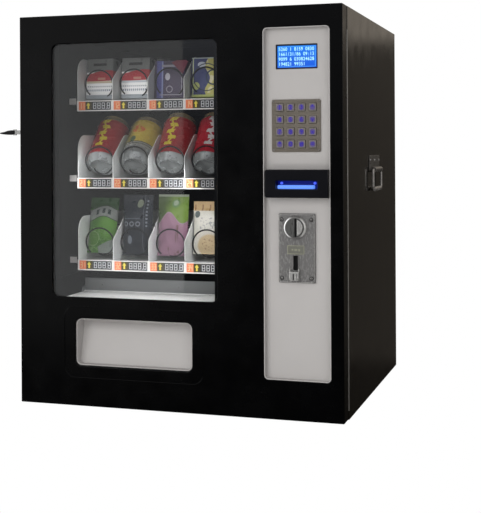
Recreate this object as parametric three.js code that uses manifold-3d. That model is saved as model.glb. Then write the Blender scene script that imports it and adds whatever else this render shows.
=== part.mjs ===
// Counter-top snack vending machine: a sheet-steel cabinet with a glazed door, three trays of spiral coils,
// a payment column with a keypad, a push-in delivery flap and a folding carry handle on each side.
//
// Millimetres. X points right as seen from the front, Y to the back and Z up.
// The exported origin is the centre of the flat base.
// Inside the machine group, Y is the distance behind the door's front face.

import * as THREE from "three";
import { mergeVertices } from "three/addons/utils/BufferGeometryUtils.js";
import Module from "manifold-3d";

const wasm = await Module();
wasm.setup();

// ---------------------------------------------------------------- driving dimensions

const WIDTH = 615;
const DEPTH = 580;
const HEIGHT = 725;
const HALF = WIDTH / 2;
const GAP = 0.3; // clearance between neighbouring pieces
const SHEET = 2; // folded steel sheet
const THIN = 1.5; // lighter sheet of the inner parts

const DOOR_DEPTH = 37;
const DOOR_SKIN = 3;
const DOOR_LIP = 12; // inner lip around the open back of the door pan
const DOOR_FOOT = 2; // height of the door's lower edge above the base

const CABINET_FRONT = 43;
const FRONT_LIP = 20;
const REAR_LIP = 15;
const BACK_THICKNESS = 1.7;

const WINDOW = { x: [-242, 80.5], z: [202.5, 672], corner: 13 };
const DELIVERY = { x: [-196.5, 32], z: [75, 164], corner: 12 };
const PANEL = { x: [165, 285], z: [71, 688], corner: 8 };
const PANEL_RECESS = 12; // depth of the grey column's floor behind the door's face

const HINGE = { x: 306.2, y: 40, knuckle: 2.3, pin: 1.3, bore: 1.6, z: [17, 683], knuckles: 7 };

const LANES = 4;
const LANE_PITCH = 73.5;
const TRAY_CENTRE = -91;
const TRAY_FRONT = 106;
const TRAY_LENGTH = 400;
const TRAY_HALF = (LANES * LANE_PITCH) / 2;
const TRAY_FLOORS = [568, 418, 259]; // top, middle and bottom tray
const DIVIDER_HEIGHT = 86;
const DIVIDER_NOSE = 30; // radius of the rounded front corner of the outer dividers
const DIVIDER_SLOPE = { low: 43, back: 62 }; // sloping front corner of the inner dividers
const PRICE_RAIL = { above: 2, below: 17.5 };
const SHAFT_HEIGHT = 36; // coil axis above the tray floor

// The coil's first turn is nearly flat: its advance is pitch * n^3 / (n^2 + ease) after n turns.
const COIL = {
  outer: 28.5, wire: 3, pitch: 58, turns: 6.639, ease: 1.2, firstAngle: -140, steps: 8, start: 18,
};
const COIL_SHAFT = 5;
const SHAFT_HOLE = 7;

const RACK_LEFT = -256; // inner face of the left rack
const PARTITION_X = 60.3;
const RAIL_DROP = GAP + THIN; // rail's top face below the tray floor's top face

const FLAP = { axisY: 38, axisZ: 160, drop: 83, lean: 19.5, pin: 2.5, hole: 2.8 };
const BAFFLE = { axisY: 139, axisZ: 196, reach: 89, x: [-236.5, 54.5], pin: 2.5, hole: 2.8 };
const CHUTE = { x: [-239.5, 57.5], y: [46, 144.5], floor: 66, fasciaTop: 222 };

const KEYS = {
  rows: 4, columns: 4, pitchX: 19.6, pitchZ: 21.4, width: 13, height: 13.5, x0: 193.6, z0: 547.5,
};
const KEYPAD = { x: [179, 266.5], z: [469.5, 561.3], front: 9.7 };
const KEY_FRONT = 7.6;

const DISPLAY = { x: [186, 261], z: [614.6, 658.3] };
const NOTE_BEZEL = { x: [170.5, 282.8], z: [390, 439], front: -10, chamfer: 2.5 };
const NOTE_SLOT = { x: [190, 264], z: [405, 419] };
const COIN_PLATE = { x: [190.5, 256.3], z: [241, 362], front: 6 };
const COIN_DOME = { x: 221.5, z: 337.8, radius: 20, front: -1 };
const COIN_SLOT = { x: [221.3, 224.9], z: [321.5, 354] };
const COIN_BUTTON = { radius: 15, from: 4.9 }; // a segment of a circle round the dome's centre

const LOCK = { y: 18.5, z: 509, barrel: 9.5, bore: 6.4, plug: 6, head: 12 };
const HANDLE = {
  y: [250, 360], z: [433, 461.5], pivotX: 6.5, pivotZ: 434, armY: [259, 351], drop: 37.5,
  hole: 3.4, knuckle: 5.2,
};
const CORD = { x: 200, z: 90, radius: 4, hole: 8, gland: 7.6 };

// ---------------------------------------------------------------- solids

// A closed three.js geometry as a solid that can be joined and cut.
function solid(geometry) {
  const bare = geometry.clone();
  bare.deleteAttribute("normal");
  bare.deleteAttribute("uv");
  const merged = mergeVertices(bare, 1e-4);
  return new wasm.Manifold(
    new wasm.Mesh({
      numProp: 3,
      vertProperties: merged.attributes.position.array,
      triVerts: new Uint32Array(merged.index.array),
    }),
  );
}

function geometryOf(manifold) {
  const { vertProperties, triVerts } = manifold.getMesh();
  const geometry = new THREE.BufferGeometry();
  geometry.setAttribute("position", new THREE.BufferAttribute(vertProperties, 3));
  geometry.setIndex(new THREE.BufferAttribute(triVerts, 1));
  return geometry;
}

function join(parts) {
  return parts.reduce((whole, part) => whole.add(part));
}

function cut(whole, parts) {
  return parts.reduce((rest, part) => rest.subtract(part), whole);
}

// A block between two values on each axis.
function block(x, y, z) {
  const geometry = new THREE.BoxGeometry(x[1] - x[0], y[1] - y[0], z[1] - z[0]);
  geometry.translate((x[0] + x[1]) / 2, (y[0] + y[1]) / 2, (z[0] + z[1]) / 2);
  return solid(geometry);
}

// A round rod along one axis. centre holds the two other coordinates, in X, Y, Z order.
function rod(axis, radius, span, centre, sides = 12) {
  const geometry = new THREE.CylinderGeometry(radius, radius, span[1] - span[0], sides);
  const middle = (span[0] + span[1]) / 2;
  if (axis === "x") {
    geometry.rotateZ(Math.PI / 2);
    geometry.translate(middle, centre[0], centre[1]);
  } else if (axis === "y") {
    geometry.translate(centre[0], middle, centre[1]);
  } else {
    geometry.rotateX(Math.PI / 2);
    geometry.translate(centre[0], centre[1], middle);
  }
  return solid(geometry);
}

function polygon(points) {
  return new THREE.Shape(points.map(([a, b]) => new THREE.Vector2(a, b)));
}

// A rectangle with rounded corners.
function roundedOutline(a, b, radius) {
  const shape = new THREE.Shape();
  shape.absarc(a[0] + radius, b[0] + radius, radius, Math.PI, 1.5 * Math.PI);
  shape.absarc(a[1] - radius, b[0] + radius, radius, 1.5 * Math.PI, 2 * Math.PI);
  shape.absarc(a[1] - radius, b[1] - radius, radius, 0, 0.5 * Math.PI);
  shape.absarc(a[0] + radius, b[1] - radius, radius, 0.5 * Math.PI, Math.PI);
  return shape;
}

// An X-Z outline given a thickness along Y.
function slabAlongY(outline, y, curveSegments = 4) {
  const geometry = new THREE.ExtrudeGeometry(outline, {
    depth: y[1] - y[0],
    bevelEnabled: false,
    curveSegments,
  });
  geometry.rotateX(Math.PI / 2);
  geometry.translate(0, y[1], 0);
  return solid(geometry);
}

// A Y-Z outline given a thickness along X.
function slabAlongX(outline, x, curveSegments = 4) {
  const geometry = new THREE.ExtrudeGeometry(outline, {
    depth: x[1] - x[0],
    bevelEnabled: false,
    curveSegments,
  });
  const turn = new THREE.Matrix4().makeBasis(
    new THREE.Vector3(0, 1, 0),
    new THREE.Vector3(0, 0, 1),
    new THREE.Vector3(1, 0, 0),
  );
  geometry.applyMatrix4(turn);
  geometry.translate(x[0], 0, 0);
  return solid(geometry);
}

// An X-Y outline given a thickness along Z.
function slabAlongZ(outline, z) {
  const geometry = new THREE.ExtrudeGeometry(outline, { depth: z[1] - z[0], bevelEnabled: false });
  geometry.translate(0, 0, z[0]);
  return solid(geometry);
}

// A wire or hose swept along a curve.
function sweep(path, radius, steps, sides) {
  const section = polygon(
    Array.from({ length: sides }, (_, i) => {
      const angle = (2 * Math.PI * (i + 0.5)) / sides;
      return [radius * Math.cos(angle), radius * Math.sin(angle)];
    }),
  );
  const geometry = new THREE.ExtrudeGeometry(section, { steps, bevelEnabled: false, extrudePath: path });
  return solid(geometry);
}

function inset(span, by) {
  return [span[0] + by, span[1] - by];
}

function mirrorX(manifold) {
  return manifold.mirror([1, 0, 0]);
}

// ---------------------------------------------------------------- finishes

const finish = (color, roughness, metalness) => ({ color, roughness, metalness });
const BLACK_PAINT = finish(0x17171a, 0.35, 0.2);
const GREY_PAINT = finish(0xb4b0aa, 0.45, 0.1);
const WHITE_PAINT = finish(0xe2e2de, 0.45, 0.1);
const STEEL = finish(0x9c968e, 0.35, 0.9);
const CHROME = finish(0xc8c8c8, 0.15, 1.0);
const BLACK_PLASTIC = finish(0x0c0c0e, 0.4, 0.0);
const GLASS = { color: 0x8a9296, roughness: 0.05, metalness: 0.0, transparent: true, opacity: 0.3 };
const BLACK_WIRE = finish(0x101012, 0.4, 0.3);
const KEY_METAL = finish(0xa49c98, 0.35, 0.8);

function part(name, manifold, look) {
  const mesh = new THREE.Mesh(geometryOf(manifold), new THREE.MeshStandardMaterial(look));
  mesh.name = name;
  return mesh;
}

// ---------------------------------------------------------------- cabinet

const INSIDE_X = inset([-HALF, HALF], SHEET);
const INSIDE_Z = [SHEET, HEIGHT - SHEET];
const REAR_LIP_Y = [DEPTH - BACK_THICKNESS - GAP - SHEET, DEPTH - BACK_THICKNESS - GAP];

function cabinetShell() {
  const outside = block([-HALF, HALF], [CABINET_FRONT, DEPTH], [0, HEIGHT]);
  const goodsSpace = block(INSIDE_X, [CABINET_FRONT + SHEET, REAR_LIP_Y[0]], INSIDE_Z);
  const mouth = block(
    inset([-HALF, HALF], FRONT_LIP),
    [CABINET_FRONT - 1, CABINET_FRONT + SHEET + 1],
    inset([0, HEIGHT], FRONT_LIP),
  );
  const rearMouth = block(
    inset([-HALF, HALF], REAR_LIP),
    [REAR_LIP_Y[0] - 1, DEPTH + 1],
    inset([0, HEIGHT], REAR_LIP),
  );
  const backSeat = block(INSIDE_X, [REAR_LIP_Y[1], DEPTH + 1], INSIDE_Z);
  const lipThrough = [CABINET_FRONT - 1, CABINET_FRONT + SHEET + 1];
  const camSlot = block([-296.5, -289.5], lipThrough, [LOCK.z - 8, LOCK.z + 42]);
  return cut(outside, [goodsSpace, mouth, rearMouth, backSeat, camSlot]);
}

function backPanel() {
  const plate = block(
    inset(INSIDE_X, GAP),
    [DEPTH - BACK_THICKNESS, DEPTH],
    inset(INSIDE_Z, GAP),
  );
  const through = [DEPTH - BACK_THICKNESS - 1, DEPTH + 1];
  const slots = [];
  for (const centre of [-150, 150]) {
    for (let row = 0; row < 6; row += 1) {
      const z = 560 + row * 16;
      slots.push(block([centre - 60, centre + 60], through, [z, z + 6]));
    }
  }
  const leadHole = rod("y", CORD.hole, through, [CORD.x, CORD.z], 12);
  return cut(plate, [...slots, leadHole]);
}

// One ledge for each tray to rest on, as wide as the given span.
function railLedges(x) {
  return TRAY_FLOORS.map((floor) => {
    const top = floor - RAIL_DROP;
    return block(x, [112, 530], [top - 2, top]);
  });
}

// Bars on the left rack that keep the trays straight.
function trayGuides() {
  return TRAY_FLOORS.map((floor) => block([RACK_LEFT - 0.5, -240], [108, 530], [floor - 5, floor + 8]));
}

function trayRackLeft() {
  const web = block([RACK_LEFT - THIN, RACK_LEFT], [62, 545], [232, 690]);
  const frontFlange = block([INSIDE_X[0] + GAP, RACK_LEFT], [62, 62 + THIN], [232, 690]);
  const rearFlange = block([INSIDE_X[0] + GAP, RACK_LEFT], [545 - THIN, 545], [232, 690]);
  const ledges = railLedges([RACK_LEFT - 0.5, -228]);
  return join([web, frontFlange, rearFlange, ...ledges, ...trayGuides()]);
}

function partition() {
  const y = [CABINET_FRONT + SHEET + 2, REAR_LIP_Y[0] - GAP];
  const z = inset(INSIDE_Z, GAP);
  const web = block([PARTITION_X, PARTITION_X + THIN], y, z);
  const fold = block([PARTITION_X, PARTITION_X + 16], [y[0], y[0] + THIN], z);
  return join([web, fold, ...railLedges([PARTITION_X - 11.5, PARTITION_X + 0.5])]);
}

function deliveryChute() {
  const [front, back] = CHUTE.y;
  const { floor, fasciaTop } = CHUTE;
  const cheekOutline = polygon([
    [front, SHEET + GAP],
    [back, SHEET + GAP],
    [back, 206],
    [BAFFLE.axisY - 9, 206],
    [BAFFLE.axisY - 22, 186],
    [front, 180],
  ]);
  const left = slabAlongX(cheekOutline, [CHUTE.x[0], CHUTE.x[0] + THIN]);
  const right = slabAlongX(cheekOutline, [CHUTE.x[1] - THIN, CHUTE.x[1]]);
  const bed = block(CHUTE.x, [front, back], [floor, floor + THIN]);
  const wall = block(CHUTE.x, [back - THIN, back], [floor, fasciaTop]);
  const pivotHole = rod("x", BAFFLE.hole, [CHUTE.x[0] - 1, CHUTE.x[1] + 1], [BAFFLE.axisY, BAFFLE.axisZ]);
  return join([cut(join([left, right]), [pivotHole]), bed, wall]);
}

// Local frame: origin on the pivot axis, at the middle of the sheet.
function dropBaffle() {
  const half = (BAFFLE.x[1] - BAFFLE.x[0]) / 2;
  const sheet = block([-half, half], [-BAFFLE.reach, 0], [-0.8, 0.8]);
  const pivot = rod("x", BAFFLE.pin, [-half - 2.8, half + 2.8], [0, 0]);
  const relief = [];
  for (const side of [-1, 1]) {
    const edge = side * (half - 30);
    relief.push(
      slabAlongZ(polygon([[edge, -16], [edge + 6, 5], [edge - 6, 5]]), [-4, 4]),
    );
  }
  return cut(sheet, relief).add(pivot);
}

function controlBox() {
  const body = block([110, 285], [299, 545], [40, 240]);
  const lid = block([106, 289], [298, 300], [36, 244]);
  const sockets = [70, 110, 150].map((z) => block([140, 170], [290, 299], [z, z + 18]));
  const hollow = block([112, 283], [300, 543], [42, 238]);
  const vents = [80, 110, 140, 170, 200].map((z) => block([195, 265], [297, 301], [z, z + 8]));
  return cut(join([body, lid, ...sockets]), [hollow, ...vents]);
}

function powerCord() {
  const { x, z } = CORD;
  const gland = rod("y", CORD.gland, [DEPTH - 8, DEPTH + 6], [x, z], 12);
  const nut = rod("y", 12, [DEPTH + GAP, DEPTH + 8], [x, z], 6);
  const route = new THREE.CatmullRomCurve3(
    [
      [x, DEPTH + 4, z],
      [x, DEPTH + 18, z - 6],
      [x - 6, DEPTH + 21, z - 40],
      [x - 30, DEPTH + 17, z - 74],
      [x - 90, DEPTH + 15, z - 79],
      [x - 150, DEPTH + 15, z - 77],
    ].map((p) => new THREE.Vector3(...p)),
  );
  const lead = sweep(route, CORD.radius, 18, 6);
  const plug = block([x - 186, x - 148], [DEPTH + 3, DEPTH + 27], [2, 26]);
  return join([gland, nut, lead, plug]);
}

// ---------------------------------------------------------------- carry handles

function handlePlate() {
  const plate = block([GAP, GAP + THIN], HANDLE.y, HANDLE.z);
  const { pivotX, pivotZ } = HANDLE;
  const between = inset(HANDLE.armY, 7.3);
  const knuckle = rod("y", HANDLE.knuckle, between, [pivotX, pivotZ]);
  const web = block([GAP, pivotX], between, [pivotZ + 1, pivotZ + HANDLE.knuckle]);
  const pinHole = rod(
    "y",
    HANDLE.hole,
    [HANDLE.y[0] - 20, HANDLE.y[1] + 20],
    [pivotX, pivotZ],
  );
  return cut(join([plate, knuckle, web]), [pinHole]);
}

// Local frame: origin on the pivot axis, Y still measured from the door's face.
function handleBail() {
  const [near, far] = HANDLE.armY;
  const corner = 7;
  const bottom = -HANDLE.drop;
  const wire = new THREE.CurvePath();
  const point = (y, z) => new THREE.Vector3(0, y, z);
  const bend = (from, by, to) => wire.add(new THREE.QuadraticBezierCurve3(from, by, to));
  wire.add(new THREE.LineCurve3(point(near + 15, 0), point(near + corner, 0)));
  bend(point(near + corner, 0), point(near, 0), point(near, -corner));
  wire.add(new THREE.LineCurve3(point(near, -corner), point(near, bottom + corner)));
  bend(point(near, bottom + corner), point(near, bottom), point(near + corner, bottom));
  wire.add(new THREE.LineCurve3(point(near + corner, bottom), point(far - corner, bottom)));
  bend(point(far - corner, bottom), point(far, bottom), point(far, bottom + corner));
  wire.add(new THREE.LineCurve3(point(far, bottom + corner), point(far, -corner)));
  bend(point(far, -corner), point(far, 0), point(far - corner, 0));
  wire.add(new THREE.LineCurve3(point(far - corner, 0), point(far - 15, 0)));
  const bail = sweep(wire, 3, 40, 6);
  const grip = rod("y", 6, [near + 9, far - 9], [0, bottom], 8);
  return bail.add(grip);
}

// ---------------------------------------------------------------- door

function flapCheek(x) {
  const outline = polygon([
    [DOOR_SKIN - 0.5, 70],
    [20, 70],
    [22, 146],
    [43.5, 150],
    [43.5, 172],
    [DOOR_SKIN - 0.5, 172],
  ]);
  return slabAlongX(outline, [x, x + THIN]);
}

function doorPanel() {
  const x = [-HALF, HALF];
  const z = [DOOR_FOOT, HEIGHT];
  const lip = [DOOR_DEPTH - SHEET - 1, DOOR_DEPTH + 1];
  const hollow = block(inset(x, SHEET), [DOOR_SKIN, DOOR_DEPTH - SHEET], inset(z, SHEET));
  const rear = block(inset(x, DOOR_LIP), lip, inset(z, DOOR_LIP));
  const openings = [WINDOW, DELIVERY, PANEL].map((o) =>
    slabAlongY(roundedOutline(o.x, o.z, o.corner), [-1, DOOR_SKIN + 1]),
  );
  const cheeks = [DELIVERY.x[0] - 0.7 - THIN, DELIVERY.x[1] + 0.7].map(flapCheek);
  const lockHole = rod("x", LOCK.barrel + GAP, [-HALF - 1, -HALF + SHEET + 1], [LOCK.y, LOCK.z]);
  const flapPins = rod("x", FLAP.hole, inset(DELIVERY.x, -4), [FLAP.axisY, FLAP.axisZ]);
  const pan = cut(block(x, [0, DOOR_DEPTH], z), [hollow, rear, ...openings, lockHole]);
  return cut(join([pan, ...cheeks]), [flapPins]);
}

function windowPane() {
  const y = [DOOR_SKIN + GAP, DOOR_SKIN + GAP + 4];
  return block(inset(WINDOW.x, -6), y, inset(WINDOW.z, -6));
}

function controlPanel() {
  const wall = THIN;
  const floor = [PANEL_RECESS, PANEL_RECESS + THIN];
  const flange = block(inset(PANEL.x, -7), [DOOR_SKIN + GAP, DOOR_SKIN + GAP + THIN], inset(PANEL.z, -7));
  const cup = slabAlongY(
    roundedOutline(inset(PANEL.x, GAP), inset(PANEL.z, GAP), PANEL.corner - GAP),
    [0.6, floor[1]],
  );
  const hollow = slabAlongY(
    roundedOutline(inset(PANEL.x, GAP + wall), inset(PANEL.z, GAP + wall), PANEL.corner - GAP - wall),
    [-1, floor[0]],
  );
  const through = [floor[0] - 1, floor[1] + 1];
  const openings = [
    block(DISPLAY.x, through, DISPLAY.z),
    block(inset(KEYPAD.x, 3), through, inset(KEYPAD.z, 3)),
    block([184, 268], through, [394, 435]),
    block(inset(COIN_PLATE.x, 6), through, inset(COIN_PLATE.z, 6)),
  ];
  return cut(join([flange, cup]), [hollow, ...openings]);
}

function displayModule() {
  const front = PANEL_RECESS + THIN + GAP;
  const board = block(inset(DISPLAY.x, -7), [front + 2, front + 4], inset(DISPLAY.z, -9));
  const glass = block(inset(DISPLAY.x, -1), [front, front + 9], inset(DISPLAY.z, -1));
  const driver = block(inset(DISPLAY.x, 15), [front + 9, front + 14], inset(DISPLAY.z, 10));
  return join([board, glass, driver]);
}

function keyCentre(row, column) {
  return [KEYS.x0 + column * KEYS.pitchX, KEYS.z0 - row * KEYS.pitchZ];
}

function keypadPlate() {
  const plateBack = KEYPAD.front + 2;
  const board = 20.5;
  const plate = slabAlongY(roundedOutline(KEYPAD.x, KEYPAD.z, 3), [KEYPAD.front, plateBack], 2);
  const housing = block(inset(KEYPAD.x, 3.5), [plateBack - 0.5, board + THIN], inset(KEYPAD.z, 3.5));
  const hollow = block(inset(KEYPAD.x, 5), [plateBack, board], inset(KEYPAD.z, 5));
  const holes = [];
  for (let row = 0; row < KEYS.rows; row += 1) {
    for (let column = 0; column < KEYS.columns; column += 1) {
      const [x, z] = keyCentre(row, column);
      const halfWidth = KEYS.width / 2 + GAP;
      const halfHeight = KEYS.height / 2 + GAP;
      holes.push(
        block(
          [x - halfWidth, x + halfWidth],
          [KEYPAD.front - 1, plateBack + 0.5],
          [z - halfHeight, z + halfHeight],
        ),
      );
    }
  }
  return cut(join([plate, housing]), [hollow, ...holes]);
}

// Local frame: origin at the centre of the key's front face.
function padKey() {
  const cap = block([-KEYS.width / 2, KEYS.width / 2], [0, 4.7], [-KEYS.height / 2, KEYS.height / 2]);
  const skirt = block([-7.6, 7.6], [4.5, 5.7], [-7.9, 7.9]);
  const stem = block([-2.5, 2.5], [5.5, 9], [-2.5, 2.5]);
  return join([cap, skirt, stem]);
}

function noteAcceptor() {
  const [left, right] = NOTE_BEZEL.x;
  const [low, high] = NOTE_BEZEL.z;
  const c = NOTE_BEZEL.chamfer;
  const outline = polygon([
    [left + c, low],
    [right, low],
    [right, high],
    [left + c, high],
    [left, high - c],
    [left, low + c],
  ]);
  const bezel = slabAlongY(outline, [NOTE_BEZEL.front, PANEL_RECESS - GAP]);
  const neck = block([186, 266], [PANEL_RECESS - 1, 17], [396, 433]);
  const stacker = block([178, 276], [15, 112], [374, 458]);
  const slot = block(NOTE_SLOT.x, [NOTE_BEZEL.front - 1, 12], NOTE_SLOT.z);
  return cut(join([bezel, neck, stacker]), [slot]);
}

function coinFaceplate() {
  const { x, z, front } = COIN_PLATE;
  const back = PANEL_RECESS - GAP;
  const base = slabAlongY(roundedOutline(x, z, 2), [front + 2, back], 2);
  const raised = slabAlongY(roundedOutline(inset(x, 2.5), inset(z, 2.5), 1.5), [front, front + 3], 2);
  const dome = rod("y", COIN_DOME.radius, [COIN_DOME.front, front + 1], [COIN_DOME.x, COIN_DOME.z], 28);
  const lip = block([210, 229], [-3, front + 1], [245, 261]);
  const coinSlot = block(COIN_SLOT.x, [COIN_DOME.front - 1, back + 1], COIN_SLOT.z);
  const returnSlot = block([217.5, 226], [front - 1, back + 1], [263, 289]);
  const buttonHole = buttonOutline(COIN_BUTTON.radius + GAP, COIN_BUTTON.from - GAP);
  const buttonBore = slabAlongY(buttonHole, [COIN_DOME.front - 1, back + 1], 8);
  return cut(join([base, raised, dome, lip]), [coinSlot, returnSlot, buttonBore]);
}

// The right-hand part of a circle, starting "from" to the right of the coin dome's centre.
function buttonOutline(radius, from = COIN_BUTTON.from) {
  const angle = Math.acos(from / radius);
  const shape = new THREE.Shape();
  shape.absarc(COIN_DOME.x, COIN_DOME.z, radius, -angle, angle);
  return shape;
}

function coinRejectButton() {
  const cap = slabAlongY(buttonOutline(COIN_BUTTON.radius), [COIN_DOME.front - 3.5, 12.6], 8);
  const retainer = slabAlongY(buttonOutline(COIN_BUTTON.radius + 2), [12.2, 13.6], 8);
  return cap.add(retainer);
}

function coinMech() {
  const body = block([192, 256], [15, 98], [240, 366]);
  const buttonRoom = block([219, 244], [14, 21], [318, 358]);
  const chuteRoom = block([204, 240], [60, 99], [250, 300]);
  return cut(body, [buttonRoom, chuteRoom]);
}

// Local frame: origin on the pivot axis, at the middle of the flap's width.
function deliveryFlap() {
  const half = (DELIVERY.x[1] - DELIVERY.x[0]) / 2 - 1;
  const { drop, lean, pin } = FLAP;
  const rim = -34; // forward edge of the side flanges
  const t = 1.5;
  const outside = slabAlongX(
    polygon([[0.8, 2.5], [rim, 2.5], [rim, -drop], [-lean, -drop], [0.8, -1]]),
    [-half, half],
  );
  const scoop = slabAlongX(
    polygon([[-t, 2.5 - t], [rim - 1, 2.5 - t], [rim - 1, t - drop], [-lean - t, t - drop], [-t, -1]]),
    inset([-half, half], t),
  );
  const stubs = [
    rod("x", pin, [-half - 2.6, -half + 0.5], [0, 0]),
    rod("x", pin, [half - 0.5, half + 2.6], [0, 0]),
  ];
  return join([cut(outside, [scoop]), ...stubs]);
}

function doorLock() {
  const { y, z, barrel, head, bore } = LOCK;
  const sleeve = rod("x", barrel, [-HALF - 1, -HALF + 13], [y, z]);
  const collar = rod("x", head, [-HALF - 2, -HALF - GAP], [y, z], 20);
  const nut = rod("x", 12.5, [-HALF + SHEET + GAP, -HALF + 6], [y, z], 6);
  return cut(join([sleeve, collar, nut]), [rod("x", bore, [-HALF - 3, -HALF + 14], [y, z], 16)]);
}

// Local frame: origin on the lock's axis, X still measured from the machine's centre.
function lockKey() {
  const plug = rod("x", LOCK.plug, [-HALF - 1.8, -HALF + 17], [0, 0], 16);
  const hook = polygon([[-6, -6], [6, -6], [6, 32], [15, 32], [15, 41], [-6, 41]]);
  const cam = slabAlongX(hook, [-HALF + 14, -HALF + 16.5]);
  const blade = block([-HALF - 22, -HALF - 1], [-1, 1], [-4, 4]);
  const bow = slabAlongX(roundedOutline([-3.5, 3.5], [-11, 11], 3), [-HALF - 50, -HALF - 20], 2);
  return join([plug, cam, blade, bow]);
}

// ---------------------------------------------------------------- continuous hinge

const KNUCKLE = (HINGE.z[1] - HINGE.z[0]) / HINGE.knuckles;

// Every other knuckle, from the given one up.
function knuckles(first, radius, trim) {
  const rods = [];
  for (let i = first; i < HINGE.knuckles; i += 2) {
    const low = HINGE.z[0] + i * KNUCKLE;
    rods.push(rod("z", radius, [low + trim, low + KNUCKLE - trim], [HINGE.x, HINGE.y], 8));
  }
  return rods;
}

// A leaf's flat plate runs from the knuckles towards the middle of the door.
function hingeLeaf(first, y) {
  const plate = block([290, HINGE.x], y, HINGE.z);
  const neighbour = first === 0 ? 1 : 0;
  const notches = [];
  for (let i = neighbour; i < HINGE.knuckles; i += 2) {
    const low = HINGE.z[0] + i * KNUCKLE;
    const notch = [low - GAP, low + KNUCKLE + GAP];
    notches.push(block([HINGE.x - 3.5, HINGE.x + 3.5], [y[0] - 1, y[1] + 1], notch));
  }
  return join([cut(plate, notches), ...knuckles(first, HINGE.knuckle, GAP)]);
}

function hingeLeafCabinet() {
  const bore = rod("z", HINGE.bore, [HINGE.z[0] - 1, HINGE.z[1] + 1], [HINGE.x, HINGE.y], 8);
  return cut(hingeLeaf(0, [HINGE.y + 1, CABINET_FRONT - GAP]), [bore]);
}

function hingeLeafDoor() {
  const pin = rod("z", HINGE.pin, [HINGE.z[0] + 1, HINGE.z[1] - 1], [HINGE.x, HINGE.y], 8);
  return hingeLeaf(1, [DOOR_DEPTH + GAP, HINGE.y - 1]).add(pin);
}

// ---------------------------------------------------------------- trays

function laneCentre(lane) {
  return (lane - (LANES - 1) / 2) * LANE_PITCH;
}

function divider(x, inner) {
  const outline = new THREE.Shape();
  const shoulder = DIVIDER_HEIGHT - DIVIDER_NOSE;
  outline.moveTo(1, -THIN);
  if (inner) {
    outline.lineTo(1, DIVIDER_SLOPE.low);
    outline.lineTo(DIVIDER_SLOPE.back, DIVIDER_HEIGHT);
  } else {
    outline.lineTo(1, shoulder);
    outline.absarc(1 + DIVIDER_NOSE, shoulder, DIVIDER_NOSE, Math.PI, Math.PI / 2, true);
  }
  outline.lineTo(TRAY_LENGTH, DIVIDER_HEIGHT);
  outline.lineTo(TRAY_LENGTH, -THIN);
  return slabAlongX(outline, [x, x + THIN], 3);
}

// Local frame of a tray: X from its centre, Y from its front edge, Z from its floor's top face.
function tray() {
  const x = [-TRAY_HALF, TRAY_HALF];
  const floor = block(x, [0, TRAY_LENGTH], [-THIN, 0]);
  const rail = block(x, [0, SHEET], [-PRICE_RAIL.below, PRICE_RAIL.above]);
  const rear = block(x, [TRAY_LENGTH - THIN, TRAY_LENGTH], [-THIN, 75]);
  const dividers = [];
  for (let i = 0; i <= LANES; i += 1) {
    const shift = (-THIN * i) / LANES;
    dividers.push(divider(-TRAY_HALF + i * LANE_PITCH + shift, i > 0 && i < LANES));
  }
  const holes = [];
  for (let lane = 0; lane < LANES; lane += 1) {
    const span = [TRAY_LENGTH - THIN - 1, TRAY_LENGTH + 1];
    holes.push(rod("y", SHAFT_HOLE, span, [laneCentre(lane), SHAFT_HEIGHT], 8));
  }
  return cut(join([floor, rail, rear, ...dividers]), holes);
}

function motorBank() {
  const front = TRAY_LENGTH + GAP;
  const parts = [block(inset([-TRAY_HALF, TRAY_HALF], 2), [front, front + 3], [5, 62])];
  const holes = [];
  for (let lane = 0; lane < LANES; lane += 1) {
    const centre = laneCentre(lane);
    parts.push(block([centre - 24, centre + 24], [front + 2, front + 32], [4, 60]));
    parts.push(rod("y", 12, [front + 30, front + 46], [centre - 8, 22], 8));
    holes.push(rod("y", SHAFT_HOLE, [front - 1, front + 22], [centre, SHAFT_HEIGHT], 8));
  }
  return cut(join(parts), holes);
}

// How far along its axis a coil has come after some turns.
function coilAdvance(turn) {
  return (COIL.pitch * turn ** 3) / (turn ** 2 + COIL.ease);
}

class Helix extends THREE.Curve {
  getPoint(t, target = new THREE.Vector3()) {
    const turn = COIL.turns * t;
    const angle = 2 * Math.PI * (turn + COIL.firstAngle / 360);
    const radius = COIL.outer - COIL.wire / 2;
    return target.set(radius * Math.sin(angle), coilAdvance(turn), radius * Math.cos(angle));
  }
}

// Local frame: origin on the coil's axis, Y from the tray's front edge.
function coil() {
  const radius = COIL.outer - COIL.wire / 2;
  const length = coilAdvance(COIL.turns);
  const wire = sweep(new Helix(), COIL.wire / 2, Math.round(COIL.turns * COIL.steps), 3);
  const end = length - COIL.wire;
  const spoke = block([0, radius], [end, end + 4], [-2, 2]);
  const shaft = rod("y", COIL_SHAFT, [end - 2, TRAY_LENGTH + 18], [0, 0], 8);
  return join([wire, spoke]).translate([0, COIL.start, 0]).add(shaft);
}

function trayAssembly(number, floor) {
  const group = new THREE.Group();
  group.position.set(TRAY_CENTRE, TRAY_FRONT, floor);
  group.add(part(`tray_${number}`, tray(), WHITE_PAINT));
  group.add(part(`motor_bank_${number}`, motorBank(), BLACK_PLASTIC));
  for (let lane = 0; lane < LANES; lane += 1) {
    const mesh = part(`coil_${number}${lane + 1}`, coil(), BLACK_WIRE);
    mesh.position.set(laneCentre(lane), 0, SHAFT_HEIGHT);
    group.add(mesh);
  }
  return group;
}

// ---------------------------------------------------------------- assembly

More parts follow.
